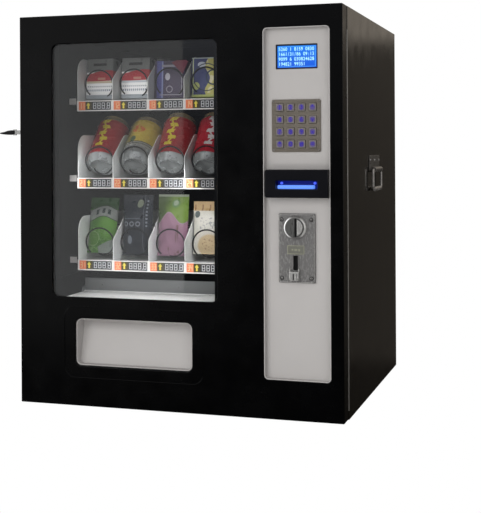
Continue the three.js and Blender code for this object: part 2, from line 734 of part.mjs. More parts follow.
function cabinetAssembly() {
  const group = new THREE.Group();
  group.add(part("cabinet_shell", cabinetShell(), BLACK_PAINT));
  group.add(part("back_panel", backPanel(), BLACK_PAINT));
  group.add(part("partition", partition(), BLACK_PAINT));
  group.add(part("tray_rack_left", trayRackLeft(), BLACK_PAINT));
  group.add(part("delivery_chute", deliveryChute(), GREY_PAINT));
  group.add(part("control_box", controlBox(), STEEL));
  group.add(part("power_cord", powerCord(), BLACK_PLASTIC));
  group.add(part("hinge_leaf_cabinet", hingeLeafCabinet(), STEEL));
  const baffle = part("drop_baffle", dropBaffle(), WHITE_PAINT);
  baffle.position.set((BAFFLE.x[0] + BAFFLE.x[1]) / 2, BAFFLE.axisY, BAFFLE.axisZ);
  group.add(baffle);
  return group;
}

function handleAssembly(side) {
  const right = side === "right";
  const group = new THREE.Group();
  group.position.x = right ? HALF : -HALF;
  const facing = right ? (manifold) => manifold : mirrorX;
  group.add(part(`handle_plate_${side}`, facing(handlePlate()), CHROME));
  const bail = part(`handle_bail_${side}`, handleBail(), CHROME);
  bail.position.set(right ? HANDLE.pivotX : -HANDLE.pivotX, 0, HANDLE.pivotZ);
  group.add(bail);
  return group;
}

function keypadAssembly() {
  const group = new THREE.Group();
  group.add(part("keypad_plate", keypadPlate(), STEEL));
  for (let row = 0; row < KEYS.rows; row += 1) {
    for (let column = 0; column < KEYS.columns; column += 1) {
      const [x, z] = keyCentre(row, column);
      const key = part(`key_${row + 1}${column + 1}`, padKey(), KEY_METAL);
      key.position.set(x, KEY_FRONT, z);
      group.add(key);
    }
  }
  return group;
}

function doorAssembly() {
  const group = new THREE.Group();
  group.add(part("door_panel", doorPanel(), BLACK_PAINT));
  group.add(part("window_pane", windowPane(), GLASS));
  group.add(part("control_panel", controlPanel(), GREY_PAINT));
  group.add(part("display_module", displayModule(), BLACK_PLASTIC));
  group.add(part("note_acceptor", noteAcceptor(), BLACK_PLASTIC));
  group.add(part("coin_faceplate", coinFaceplate(), CHROME));
  group.add(part("coin_reject_button", coinRejectButton(), CHROME));
  group.add(part("coin_mech", coinMech(), BLACK_PLASTIC));
  group.add(part("door_lock", doorLock(), CHROME));
  group.add(part("hinge_leaf_door", hingeLeafDoor(), STEEL));
  group.add(keypadAssembly());
  const flap = part("delivery_flap", deliveryFlap(), GREY_PAINT);
  flap.position.set((DELIVERY.x[0] + DELIVERY.x[1]) / 2, FLAP.axisY, FLAP.axisZ);
  group.add(flap);
  const key = part("lock_key", lockKey(), STEEL);
  key.position.set(0, LOCK.y, LOCK.z);
  group.add(key);
  return group;
}

const machine = new THREE.Group();
machine.position.y = -DEPTH / 2;
machine.add(cabinetAssembly());
machine.add(doorAssembly());
machine.add(handleAssembly("right"));
machine.add(handleAssembly("left"));
TRAY_FLOORS.forEach((floor, i) => machine.add(trayAssembly(i + 1, floor)));

export default machine;
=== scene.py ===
# The looks of a counter-top snack vending machine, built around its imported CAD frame.
# Metres, in the frame's own axes: X right, Y to the back, Z up, origin at the centre of the base.
# Radii, margins and rounded edges are in millimetres, and the shape helpers turn them into metres.

import math
import random

import bmesh
import bpy
from mathutils import Matrix, Vector

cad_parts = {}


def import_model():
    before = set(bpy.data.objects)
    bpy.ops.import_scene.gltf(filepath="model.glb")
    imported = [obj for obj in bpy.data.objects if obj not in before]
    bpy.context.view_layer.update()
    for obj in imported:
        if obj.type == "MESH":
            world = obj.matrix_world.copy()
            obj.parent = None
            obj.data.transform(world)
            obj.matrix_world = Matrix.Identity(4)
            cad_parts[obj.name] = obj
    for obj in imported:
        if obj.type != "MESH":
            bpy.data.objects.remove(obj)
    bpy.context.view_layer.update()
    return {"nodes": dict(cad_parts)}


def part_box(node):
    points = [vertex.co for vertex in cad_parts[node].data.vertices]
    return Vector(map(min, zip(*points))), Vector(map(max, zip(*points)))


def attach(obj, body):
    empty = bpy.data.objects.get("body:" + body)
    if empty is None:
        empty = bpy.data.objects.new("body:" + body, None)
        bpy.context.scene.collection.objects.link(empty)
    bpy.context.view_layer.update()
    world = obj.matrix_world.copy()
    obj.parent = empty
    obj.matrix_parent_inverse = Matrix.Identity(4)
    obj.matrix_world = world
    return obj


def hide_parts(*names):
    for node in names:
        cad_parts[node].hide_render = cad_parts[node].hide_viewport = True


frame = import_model()

MM = 0.001
LANES = 4
ROWS = 3
RNG = random.Random(7)


# ------------------------------------------------------------------ boxes of the CAD parts


class Box:
    """A CAD node's box at rest, with its lowest and highest corners."""

    def __init__(self, node):
        self.lo, self.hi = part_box(node)
        self.centre = (self.lo + self.hi) / 2
        self.x, self.y, self.z = zip(self.lo, self.hi)


DOOR = Box("door_panel")
SHELL = Box("cabinet_shell")
FRONT = DOOR.lo.y
BASE = SHELL.lo.z


def behind(distance_mm):
    """The Y of a plane this far behind the door's front face."""
    return FRONT + distance_mm * MM


def depths(near_mm, far_mm):
    return behind(near_mm), behind(far_mm)


def mm(*values):
    return tuple(value * MM for value in values)


def widen(span, by):
    return (span[0] - by * MM, span[1] + by * MM)


def around(middle, half):
    return (middle - half * MM, middle + half * MM)


def from_place(pairs, start=0.0, way=1):
    """(radius, distance) pairs in millimetres as metres, with the distances measured from a place."""
    return [(radius * MM, start + way * distance * MM) for radius, distance in pairs]


# ------------------------------------------------------------------ mesh helpers

# How a flat outline is laid in space: two outline directions, then the thickness direction.
PLANES = {
    "front": Matrix(((1, 0, 0), (0, 0, -1), (0, 1, 0))),
    "side": Matrix(((0, 0, 1), (1, 0, 0), (0, 1, 0))),
    "top": Matrix.Identity(3),
}


def link(obj):
    bpy.context.scene.collection.objects.link(obj)
    return obj


def mesh_object(name, mesh):
    return link(bpy.data.objects.new(name, mesh))


def from_bmesh(name, bm):
    mesh = bpy.data.meshes.new(name)
    bmesh.ops.recalc_face_normals(bm, faces=bm.faces)
    bm.to_mesh(mesh)
    bm.free()
    return mesh_object(name, mesh)


def smooth(obj, angle=38):
    """Smooth shading that keeps large faces flat up to their rounded edges."""
    obj.data.shade_smooth()
    obj.data.set_sharp_from_angle(angle=math.radians(angle))
    weighted = obj.modifiers.new("weighted", "WEIGHTED_NORMAL")
    weighted.mode = "FACE_AREA"
    weighted.weight = 50
    weighted.keep_sharp = True
    return obj


def paint(obj, material):
    obj.data.materials.clear()
    obj.data.materials.append(material)
    return obj


def dress(obj, material, body):
    """Gives a piece its material and smooth shading, and lets it ride on a body."""
    smooth(paint(obj, material))
    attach(obj, body)


def stand_in(obj, node, body, material=None, angle=38):
    """Smooths a piece and puts it in the place of its CAD node."""
    if material:
        paint(obj, material)
    smooth(obj, angle)
    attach(obj, body)
    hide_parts(node)


def rect_outline(a, b):
    return [(a[0], b[0]), (a[1], b[0]), (a[1], b[1]), (a[0], b[1])]


def rounded_rect(a, b, radius, steps=8):
    """A rectangle's outline with round corners, from spans a and b."""
    radius *= MM
    corners = (
        (a[1] - radius, b[1] - radius, 0),
        (a[0] + radius, b[1] - radius, 90),
        (a[0] + radius, b[0] + radius, 180),
        (a[1] - radius, b[0] + radius, 270),
    )
    points = []
    for x, y, start in corners:
        for i in range(steps + 1):
            angle = math.radians(start + 90 * i / steps)
            points.append((x + radius * math.cos(angle), y + radius * math.sin(angle)))
    return points


def rim_and_hole(a, b, width, radius, inner_radius, steps):
    """The two outlines of a rectangular ring."""
    hole = rounded_rect(widen(a, -width), widen(b, -width), inner_radius, steps)
    return [rounded_rect(a, b, radius, steps), hole]


def circle(x, y, radius, steps=32, start=0.0, sweep=360.0):
    radius *= MM
    count = steps if sweep >= 360 else steps + 1
    angles = [math.radians(start + sweep * i / steps) for i in range(count)]
    return [(x + radius * math.cos(t), y + radius * math.sin(t)) for t in angles]


def baked_curve(name, curve):
    """A curve as a plain mesh object at the origin."""
    temporary = link(bpy.data.objects.new(name + "_curve", curve))
    depsgraph = bpy.context.evaluated_depsgraph_get()
    mesh = bpy.data.meshes.new_from_object(temporary.evaluated_get(depsgraph), depsgraph=depsgraph)
    bpy.data.objects.remove(temporary)
    bpy.data.curves.remove(curve)
    mesh.name = name
    return mesh_object(name, mesh)


def weld(obj, distance=1e-6):
    bm = bmesh.new()
    bm.from_mesh(obj.data)
    bmesh.ops.remove_doubles(bm, verts=bm.verts, dist=distance)
    bmesh.ops.recalc_face_normals(bm, faces=bm.faces)
    bm.to_mesh(obj.data)
    bm.free()
    return obj


def plate(name, outlines, span, edge=0.3, plane="front", edge_steps=2):
    """A sheet with holes and rounded edges. The first outline is the rim, the others are holes."""
    edge *= MM
    curve = bpy.data.curves.new(name, "CURVE")
    curve.dimensions = "2D"
    curve.fill_mode = "BOTH"
    curve.extrude = (span[1] - span[0]) / 2 - edge
    curve.bevel_depth = edge
    curve.bevel_resolution = edge_steps
    curve.offset = -edge
    for points in outlines:
        spline = curve.splines.new("POLY")
        spline.points.add(len(points) - 1)
        for target, (a, b) in zip(spline.points, points):
            target.co = (a, b, 0, 1)
        spline.use_cyclic_u = True
    obj = baked_curve(name, curve)
    turn = PLANES[plane].to_4x4()
    obj.data.transform(turn)
    middle = (span[0] + span[1]) / 2
    shift = {"front": (0, middle, 0), "side": (middle, 0, 0), "top": (0, 0, middle)}[plane]
    obj.data.transform(Matrix.Translation(shift))
    return weld(obj)


def block(name, x, y, z, edge=0.5, steps=2):
    """A block with rounded edges."""
    bm = bmesh.new()
    bmesh.ops.create_cube(bm, size=1)
    size = Vector((x[1] - x[0], y[1] - y[0], z[1] - z[0]))
    centre = Vector(((x[0] + x[1]) / 2, (y[0] + y[1]) / 2, (z[0] + z[1]) / 2))
    bmesh.ops.scale(bm, vec=size, verts=bm.verts)
    bmesh.ops.translate(bm, vec=centre, verts=bm.verts)
    if edge:
        bmesh.ops.bevel(
            bm, geom=bm.edges[:], offset=min(edge * MM, min(size) * 0.45), segments=steps, profile=0.5,
            affect="EDGES",
        )
    return from_bmesh(name, bm)


def lathe(name, profile, axis="y", origin=(0, 0, 0), steps=40):
    """A turned shape. The profile is a list of (radius, distance along the axis)."""
    along = {"x": Vector((1, 0, 0)), "y": Vector((0, 1, 0)), "z": Vector((0, 0, 1))}[axis]
    across = Vector((0, 0, 1)) if axis != "z" else Vector((1, 0, 0))
    third = along.cross(across)
    bm = bmesh.new()
    rings = []
    for radius, distance in profile:
        centre = Vector(origin) + along * distance
        if radius <= 0:
            rings.append([bm.verts.new(centre)])
            continue
        ring = []
        for i in range(steps):
            angle = 2 * math.pi * i / steps
            ring.append(
                bm.verts.new(centre + radius * (across * math.cos(angle) + third * math.sin(angle))),
            )
        rings.append(ring)
    for near, far in zip(rings, rings[1:]):
        for i in range(steps):
            j = (i + 1) % steps
            if len(near) == 1 and len(far) == 1:
                continue
            if len(near) == 1:
                bm.faces.new((near[0], far[i], far[j]))
            elif len(far) == 1:
                bm.faces.new((near[i], near[j], far[0]))
            else:
                bm.faces.new((near[i], near[j], far[j], far[i]))
    return from_bmesh(name, bm)


def tube(name, points, radius, sides=3, cyclic=False, round_path=False):
    """A round wire through points, with closed ends."""
    curve = bpy.data.curves.new(name, "CURVE")
    curve.dimensions = "3D"
    curve.bevel_depth = radius * MM
    curve.bevel_resolution = sides
    curve.use_fill_caps = True
    if round_path:
        spline = curve.splines.new("BEZIER")
        spline.bezier_points.add(len(points) - 1)
        for target, point in zip(spline.bezier_points, points):
            target.co = point
            target.handle_left_type = "AUTO"
            target.handle_right_type = "AUTO"
    else:
        spline = curve.splines.new("POLY")
        spline.points.add(len(points) - 1)
        for target, point in zip(spline.points, points):
            target.co = (*point, 1)
    spline.use_cyclic_u = cyclic
    return weld(baked_curve(name, curve), 1e-7)


def lettering(name, text, height, centre, y, width_scale, weight):
    """Digits or signs facing the front, centred on an X-Z point."""
    curve = bpy.data.curves.new(name, "FONT")
    curve.body = text
    curve.size = height * 1.38
    curve.extrude = 0.05 * MM
    curve.offset = weight
    curve.align_x = "CENTER"
    curve.align_y = "CENTER"
    obj = baked_curve(name, curve)
    obj.data.transform(Matrix.Diagonal((width_scale, 1, 1, 1)))
    obj.data.transform(PLANES["front"].to_4x4())
    obj.data.transform(Matrix.Translation((centre[0], y, centre[1])))
    return obj


def join(name, objects):
    """Several meshes as one piece that keeps their materials."""
    with bpy.context.temp_override(
        active_object=objects[0], object=objects[0], selected_objects=objects,
        selected_editable_objects=objects,
    ):
        bpy.ops.object.join()
    objects[0].name = name
    objects[0].data.name = name
    return objects[0]


# ------------------------------------------------------------------ material helpers


class Graph:
    """A node tree, built up node by node."""

    def __init__(self, tree):
        self.nodes = tree.nodes
        self.links = tree.links

    def plug(self, socket, value):
        """Gives an input another node's output, a number or a colour."""
        if isinstance(value, bpy.types.NodeSocket):
            self.links.new(value, socket)
        elif socket.type == "RGBA":
            socket.default_value = (*value, 1)
        else:
            socket.default_value = value

    def add(self, kind, inputs, **settings):
        node = self.nodes.new("ShaderNode" + kind)
        for key, value in settings.items():
            setattr(node, key, value)
        for key, value in inputs.items():
            self.plug(node.inputs[key], value)
        return node.outputs

    def remap(self, factor, low, high, start=0.3, end=0.7):
        span = {"From Min": start, "From Max": end, "To Min": low, "To Max": high}
        return self.add("MapRange", {"Value": factor, **span})["Result"]

    def mix(self, factor, first, second):
        return self.add("Mix", {"Factor": factor, "A": first, "B": second}, data_type="RGBA")["Result"]


class Look(Graph):
    """A node material on one Principled shader, with patterns in the object's own metres."""

    def __init__(self, name, colour, roughness, metallic=0.0, **inputs):
        self.material = bpy.data.materials.new(name)
        self.material.use_nodes = True
        super().__init__(self.material.node_tree)
        self.shader = self.nodes["Principled BSDF"]
        self.feed("Base Color", colour).feed("Roughness", roughness).feed("Metallic", metallic)
        for key, value in inputs.items():
            self.feed(key.replace("_", " "), value)
        self.coordinates = self.add("TexCoord", {})["Object"]

    def noise(self, scale, detail=3.0, stretch=(1, 1, 1), roughness=0.5):
        place = self.add("Mapping", {"Scale": stretch, "Vector": self.coordinates})["Vector"]
        inputs = {"Scale": scale, "Detail": detail, "Roughness": roughness, "Vector": place}
        return self.add("TexNoise", inputs)["Fac"]

    def feed(self, name, value):
        self.plug(self.shader.inputs[name], value)
        return self

    def bump(self, height, strength=0.1, distance=0.0002):
        inputs = {"Strength": strength, "Distance": distance, "Height": height}
        return self.feed("Normal", self.add("Bump", inputs)["Normal"])


def shade(colour, factor):
    return tuple(min(1.0, c * factor) for c in colour)


def painted_metal(name, colour, roughness, grain=900, spread=0.12, peel=0.12, **inputs):
    """Powder coat with fine orange peel and cloudy gloss."""
    look = Look(name, colour, roughness, **inputs)
    clouds = look.noise(9, 4)
    fine = look.noise(grain, 2)
    tone = look.mix(look.remap(clouds, 0.0, 1.0), shade(colour, 1 - spread), shade(colour, 1 + spread))
    look.feed("Base Color", tone)
    look.feed("Roughness", look.remap(look.noise(22, 5), roughness - 0.05, roughness + 0.09))
    return look.bump(fine, peel, 0.0003).material


def brushed_metal(name, colour, roughness, stretch, depth=0.15, metallic=1.0):
    """Metal with fine lines along one direction."""
    look = Look(name, colour, roughness, metallic)
    lines = look.noise(420, 4, stretch, 0.65)
    stains = look.noise(14, 3)
    tone = look.mix(look.remap(lines, 0.0, 1.0), shade(colour, 0.8), shade(colour, 1.15))
    look.feed("Base Color", look.mix(look.remap(stains, 0.0, 0.35), tone, shade(colour, 0.75)))
    look.feed("Roughness", look.remap(lines, roughness - 0.08, roughness + 0.1))
    return look.bump(lines, depth, 0.0002).material


def plastic(name, colour, roughness, grain=1500, depth=0.15, **inputs):
    look = Look(name, colour, roughness, **inputs)
    fine = look.noise(grain, 2)
    look.feed("Base Color", look.mix(look.noise(12, 3), shade(colour, 0.85), shade(colour, 1.2)))
    look.feed("Roughness", look.remap(look.noise(30, 4), roughness - 0.05, roughness + 0.08))
    return look.bump(fine, depth, 0.0003).material


def glow(name, colour, strength, spread=0.1):
    look = Look(name, shade(colour, 0.3), 0.4)
    look.feed("Emission Color", look.mix(look.noise(90, 2), shade(colour, 1 - spread), colour))
    return look.feed("Emission Strength", strength).material


def window_glass():
    """Clear glass that lets light straight through and mirrors a little, more at a slant."""
    look = Look("window_glass", (0.9, 0.92, 0.93), 0.02, 1.0)
    fresnel = look.add("Fresnel", {"IOR": 1.5})["Fac"]
    smear = look.remap(look.noise(6, 3), 0.9, 1.1)
    look.feed("Alpha", look.add("Math", {0: fresnel, 1: smear}, operation="MULTIPLY")["Value"])
    return look.material


# ------------------------------------------------------------------ the materials

BLACK_PAINT = painted_metal(
    "black_paint", (0.0006, 0.0006, 0.0007), 0.22, peel=0.02, Specular_IOR_Level=0.17,
)
SIDE_PAINT = painted_metal("side_paint", (0.004, 0.0032, 0.0022), 0.1, spread=0.05, peel=0.0)
INNER_BLACK = painted_metal("inner_black", (0.002, 0.002, 0.0022), 0.6, peel=0.0, Specular_IOR_Level=0.08)
GREY_PAINT = painted_metal("grey_paint", (0.385, 0.368, 0.357), 0.42, spread=0.03)
WHITE_PAINT = painted_metal("white_paint", (0.66, 0.66, 0.64), 0.4, spread=0.04)
FASCIA_GREY = painted_metal("fascia_grey", (0.13, 0.135, 0.135), 0.45, spread=0.06)
STEEL_ACROSS = brushed_metal("steel_across", (0.16, 0.14, 0.115), 0.36, (0.04, 1, 1), metallic=0.35)
STEEL_DARK = brushed_metal("steel_dark", (0.2, 0.185, 0.17), 0.4, (1, 1, 0.05))
COIN_STEEL = brushed_metal("coin_steel", (0.21, 0.205, 0.2), 0.24, (1, 1, 0.3), 0.02, metallic=0.4)
# A lighter copy of the coin steel, used as painted highlight on the return lip, the line along the plate's
# edge and the reject button.
COIN_HIGHLIGHT_STEEL = brushed_metal("coin_highlight_steel", (0.55, 0.54, 0.52), 0.2, (1, 1, 0.3), 0.02, metallic=0.6)
# A darker copy of the coin steel, used as painted shade on the face of the coin boss.
STEEL_SHADE = brushed_metal("steel_shade", (0.1, 0.1, 0.095), 0.3, (1, 1, 0.3), 0.02, metallic=0.4)
COIN_LABEL = plastic("coin_label", (0.11, 0.11, 0.09), 0.5)
LABEL_BRASS = plastic("label_brass", (0.22, 0.22, 0.16), 0.4)
KEY_RUBBER = plastic("key_rubber", (0.004, 0.004, 0.004), 0.5, Specular_IOR_Level=0.2)
# Flat black, used as painted shade in the coin plate's slots, flutes and screw recesses.
PAINTED_SHADE_BLACK = plastic("painted_shade_black", (0.0015, 0.0015, 0.0015), 0.7)
CHROME = brushed_metal("chrome", (0.5, 0.5, 0.49), 0.15, (1, 0.1, 1), 0.02, metallic=0.6)
HANDLE_STEEL = brushed_metal("handle_steel", (0.13, 0.12, 0.11), 0.3, (1, 0.1, 1), 0.04, metallic=0.5)
HANDLE_METAL = brushed_metal("handle_metal", (0.32, 0.3, 0.28), 0.25, (1, 0.1, 1), 0.04, metallic=0.5)
SCREW_METAL = brushed_metal("screw_metal", (0.3, 0.29, 0.28), 0.3, (1, 1, 0.1), 0.05, metallic=0.6)
BLACK_PLASTIC = plastic("black_plastic", (0.009, 0.009, 0.01), 0.38)
BEZEL_PLASTIC = plastic("bezel_plastic", (0.0025, 0.0025, 0.004), 0.35, 1100, 0.08, Specular_IOR_Level=0.2)
RUBBER = plastic("rubber", (0.012, 0.012, 0.012), 0.65)
FILTER_FOAM = plastic("filter_foam", (0.004, 0.004, 0.004), 0.9, 700, 0.2)
COIL_BLACK = painted_metal("coil_black", (0.008, 0.008, 0.009), 0.3)
HINGE_STEEL = brushed_metal("hinge_steel", (0.19, 0.18, 0.165), 0.35, (1, 1, 0.1), 0.03, metallic=0.3)
TRAY_WHITE = painted_metal("tray_white", (0.8, 0.81, 0.8), 0.4, spread=0.04)
LABEL_WHITE = plastic("label_white", (0.72, 0.7, 0.68), 0.35, 900, 0.05)
LABEL_ORANGE = plastic("label_orange", (0.78, 0.2, 0.08), 0.45, 900, 0.05)
LABEL_BROWN = plastic("label_brown", (0.06, 0.045, 0.01), 0.4, 900, 0.05)
LABEL_DARK = plastic("label_dark", (0.04, 0.042, 0.046), 0.4, 900, 0.05)
LABEL_YELLOW = plastic("label_yellow", (0.72, 0.6, 0.06), 0.4, 900, 0.05)
LABEL_INK = plastic("label_ink", (0.62, 0.63, 0.65), 0.4, 900, 0.05)
LABEL_CREAM = plastic("label_cream", (0.85, 0.62, 0.32), 0.4, 900, 0.05)
KEY_STEEL = brushed_metal("key_steel", (0.21, 0.19, 0.175), 0.32, (1, 1, 0.06), 0.05, metallic=0.4)
KEY_GLOW = glow("key_glow", (0.012, 0.004, 0.3), 0.9)
KEY_HALO = glow("key_halo", (0.13, 0.095, 0.3), 0.4)
BLUE_LAMP = glow("blue_lamp", (0.06, 0.11, 0.9), 1.0)
BLUE_LIP = glow("blue_lip", (0.12, 0.28, 0.95), 1.0)
WINDOW_GLASS = window_glass()


# ------------------------------------------------------------------ small repeated fittings


def screw_head(name, centre, facing, radius, height):
    """A domed screw head with black bars as painted shade in its cross slot. facing is the outward axis,
    such as '-y'.
    """
    radius *= MM
    height *= MM
    profile = [
        (0, height),
        (radius * 0.45, height * 0.97),
        (radius * 0.8, height * 0.75),
        (radius * 0.97, height * 0.35),
        (radius, 0),
    ]
    head = lathe(name, profile, "z", (0, 0, 0), 20)
    paint(head, SCREW_METAL)
    parts = [head]
    arm = radius * 0.62
    thin = radius * 0.14
    # The black bars in the cross slot are painted shade.
    for across, up in ((arm, thin), (thin, arm)):
        slot = block(name + "_slot", (-across, across), (-up, up), (height * 0.8, height * 1.01), 0)
        parts.append(paint(slot, BLACK_PLASTIC))
    screw = join(name, parts)
    axis = {"x": Vector((1, 0, 0)), "y": Vector((0, 1, 0)), "z": Vector((0, 0, 1))}[facing[1]]
    if facing[0] == "-":
        axis = -axis
    turn = axis.to_track_quat("Z", "Y").to_matrix().to_4x4()
    screw.data.transform(Matrix.Translation(centre) @ turn)
    return smooth(screw)


def screws(name, centres, facing, body, radius):
    group = [screw_head(f"{name}_{i}", c, facing, radius, 1.6) for i, c in enumerate(centres)]
    piece = join(name, group)
    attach(piece, body)


# ------------------------------------------------------------------ door

WINDOW = Box("window_pane")
WINDOW_MARGIN = 6
OPEN_X = widen(WINDOW.x, -WINDOW_MARGIN)
OPEN_Z = widen(WINDOW.z, -WINDOW_MARGIN)
FLAP = Box("delivery_flap")
FLAP_X = (-0.1965, 0.032)
FLAP_Z = (0.075, 0.164)
COLUMN = Box("control_panel")
COLUMN_X = widen(COLUMN.x, -7)
COLUMN_Z = widen(COLUMN.z, -7)
SKIN = 3 * MM


def door_skin():
    """The door pan: a front sheet with three openings, folded sides, a rear lip and two flap cheeks."""
    x, z = DOOR.x, DOOR.z
    back = behind(37)
    holes = [
        rounded_rect(OPEN_X, OPEN_Z, 13, 12),
        rounded_rect(FLAP_X, FLAP_Z, 12, 12),
        rounded_rect(COLUMN_X, COLUMN_Z, 8, 10),
    ]
    front = plate(
        "door_front", [rounded_rect(x, z, 1.5, 4), *holes], (FRONT, FRONT + SKIN), 1.1, edge_steps=3,
    )
    inner = rounded_rect(widen(x, -2), widen(z, -2), 0.8, 3)
    walls = plate("door_walls", [rounded_rect(x, z, 1.5, 4), inner], (FRONT + 1.5 * MM, back), 0.5)
    mouth = rounded_rect(widen(x, -12), widen(z, -12), 3, 4)
    lip = plate(
        "door_lip", [rounded_rect(widen(x, -1), widen(z, -1), 1, 3), mouth], (back - 2 * MM, back), 0.4,
    )
    parts = [front, walls, lip]
    for side, near in ((-1, FLAP_X[0]), (1, FLAP_X[1])):
        inner_x = near + side * 0.7 * MM
        span = sorted((inner_x, inner_x + side * 1.5 * MM))
        outline = [
            (FRONT + 2.5 * MM, 70 * MM), (behind(20), 70 * MM), (behind(22), 146 * MM),
            (behind(43.5), 150 * MM), (behind(43.5), 172 * MM), (FRONT + 2.5 * MM, 172 * MM),
        ]
        parts.append(plate("flap_cheek", [outline], span, 0.2, "side"))
    skin = join("door_skin", parts)
    stand_in(skin, "door_panel", "door", BLACK_PAINT)


def opening_trim():
    """A pressed line in the door skin round the flap opening."""
    ridge = rounded_rect(widen(FLAP_X, 21), widen(FLAP_Z, 21), 20, 12)
    bead = tube("flap_bead", [(a, FRONT + 0.35 * MM, b) for a, b in ridge], 0.9, 3, cyclic=True)
    dress(bead, BLACK_PAINT, "door")


def window_assembly():
    glass = plate(
        "window_glass_pane",
        [rounded_rect(WINDOW.x, WINDOW.z, 4, 4)],
        WINDOW.y, 0.4,
    )
    stand_in(glass, "window_pane", "door", WINDOW_GLASS)
    rim = rounded_rect(widen(OPEN_X, 0.4), widen(OPEN_Z, 0.4), 13, 12)
    outer = rounded_rect(widen(OPEN_X, 12), widen(OPEN_Z, 12), 18, 12)
    gasket = plate("window_gasket", [outer, rim], (WINDOW.hi.y + 0.1 * MM, WINDOW.hi.y + 3 * MM), 0.8)
    dress(gasket, RUBBER, "door")


def delivery_flap():
    """The flap: a light-grey shallow pan that leans, with its pivot stubs."""
    y0, y1 = FLAP.lo.y, FLAP.hi.y
    sides = widen(FLAP_X, -1)
    low, high = FLAP.z
    foot = behind(18.5)
    radius = 10
    sheet = 1.4
    bm = bmesh.new()
    outer = rounded_rect(sides, FLAP.z, radius, 10)
    inner = rounded_rect(widen(sides, -sheet), widen(FLAP.z, -sheet), radius - sheet, 10)

    def lean(z, extra):
        share = (z - low) / (high - low)
        return foot + share * (y1 - 1.6 * MM - foot) + extra

    rings = [
        [bm.verts.new((a, lean(b, sheet * MM), b)) for a, b in outer],
        [bm.verts.new((a, y0, b)) for a, b in outer],
        [bm.verts.new((a, y0, b)) for a, b in inner],
        [bm.verts.new((a, lean(b, 0), b)) for a, b in inner],
    ]
    count = len(outer)
    for near, far in zip(rings, rings[1:]):
        for i in range(count):
            j = (i + 1) % count
            bm.faces.new((near[i], near[j], far[j], far[i]))
    bm.faces.new(rings[0])
    bm.faces.new(rings[3])
    pan = from_bmesh("flap_pan", bm)
    stubs = []
    for side, x in zip((-1, 1), sides):
        profile = from_place([(0, 0), (2.5, 0), (2.5, 2.2), (2.1, 2.6), (0, 2.6)], way=side)
        stubs.append(lathe("flap_stub", profile, "x", (x - side * 0.3 * MM, behind(38), 0.160), 20))
    flap = join("delivery_flap_pan", [pan, *stubs])
    stand_in(flap, "delivery_flap", "flap", GREY_PAINT, 40)


def control_column():
    """The recessed light-grey pan with its flanges and cut-outs."""
    floor = behind(12)
    inner = rounded_rect(widen(COLUMN_X, -1.8), widen(COLUMN_Z, -1.8), 6.2, 10)
    outer = rounded_rect(widen(COLUMN_X, -0.3), widen(COLUMN_Z, -0.3), 7.7, 10)
    wall = plate("column_wall", [outer, inner], depths(0.6, 13.5), 0.35)
    keypad = Box("keypad_plate")
    coin = Box("coin_faceplate")
    cutouts = [
        rounded_rect(DISPLAY_X, DISPLAY_Z, 1.2, 4),
        rounded_rect(widen(keypad.x, -3), widen(keypad.z, -3), 1, 2),
        rounded_rect((0.184, 0.268), (0.394, 0.435), 1, 2),
        rounded_rect(widen(coin.x, -6), widen(coin.z, -6), 1, 2),
    ]
    floor_plate = plate("column_floor", [outer, *cutouts], (floor, behind(13.5)), 0.3)
    hole = rounded_rect(widen(COLUMN_X, -0.3), widen(COLUMN_Z, -0.3), 7.7, 6)
    rim = rounded_rect(COLUMN.x, COLUMN.z, 3, 4)
    flange = plate("column_flange", [rim, hole], depths(3.3, 4.8), 0.3)
    column = join("control_column", [wall, floor_plate, flange])
    stand_in(column, "control_panel", "door", GREY_PAINT)


# ------------------------------------------------------------------ display

DISPLAY_X = (0.186, 0.261)
DISPLAY_Z = (0.6146, 0.6583)


def screen_blue():
    """Blue back light, brighter towards the top."""
    look = Look("screen_blue", (0.0, 0.02, 0.15), 0.35)
    height = look.add("SeparateXYZ", {0: look.coordinates})["Z"]
    rise = look.remap(height, 0.0, 1.0, *DISPLAY_Z)
    look.feed("Emission Color", look.mix(rise, (0.0, 0.075, 0.62), (0.0, 0.2, 0.8)))
    return look.feed("Emission Strength", 0.95).material


def screen_digits():
    """Four rows of random digits, spaced like words."""
    lines = ("0000 0 0000 0000", "0000/00/00 00:00", "0000 0 000000000", "000000 00000")
    ink = glow("screen_digits", (0.42, 0.86, 1.0), 1.0)
    letters = []
    pitch = (DISPLAY_Z[1] - DISPLAY_Z[0] - 9 * MM) / 4
    for row, line in enumerate(lines):
        z = DISPLAY_Z[1] - 4.5 * MM - pitch * (row + 0.5)
        text = "".join(str(RNG.randint(0, 9)) if c == "0" else c for c in line)
        for column, sign in enumerate(text):
            if sign == " ":
                continue
            x = DISPLAY_X[0] + 6.5 * MM + column * 4 * MM
            digit = lettering("digit", sign, 6.2 * MM, (x, z), behind(14.8), 0.84, 0.12 * MM)
            letters.append(paint(digit, ink))
    return letters


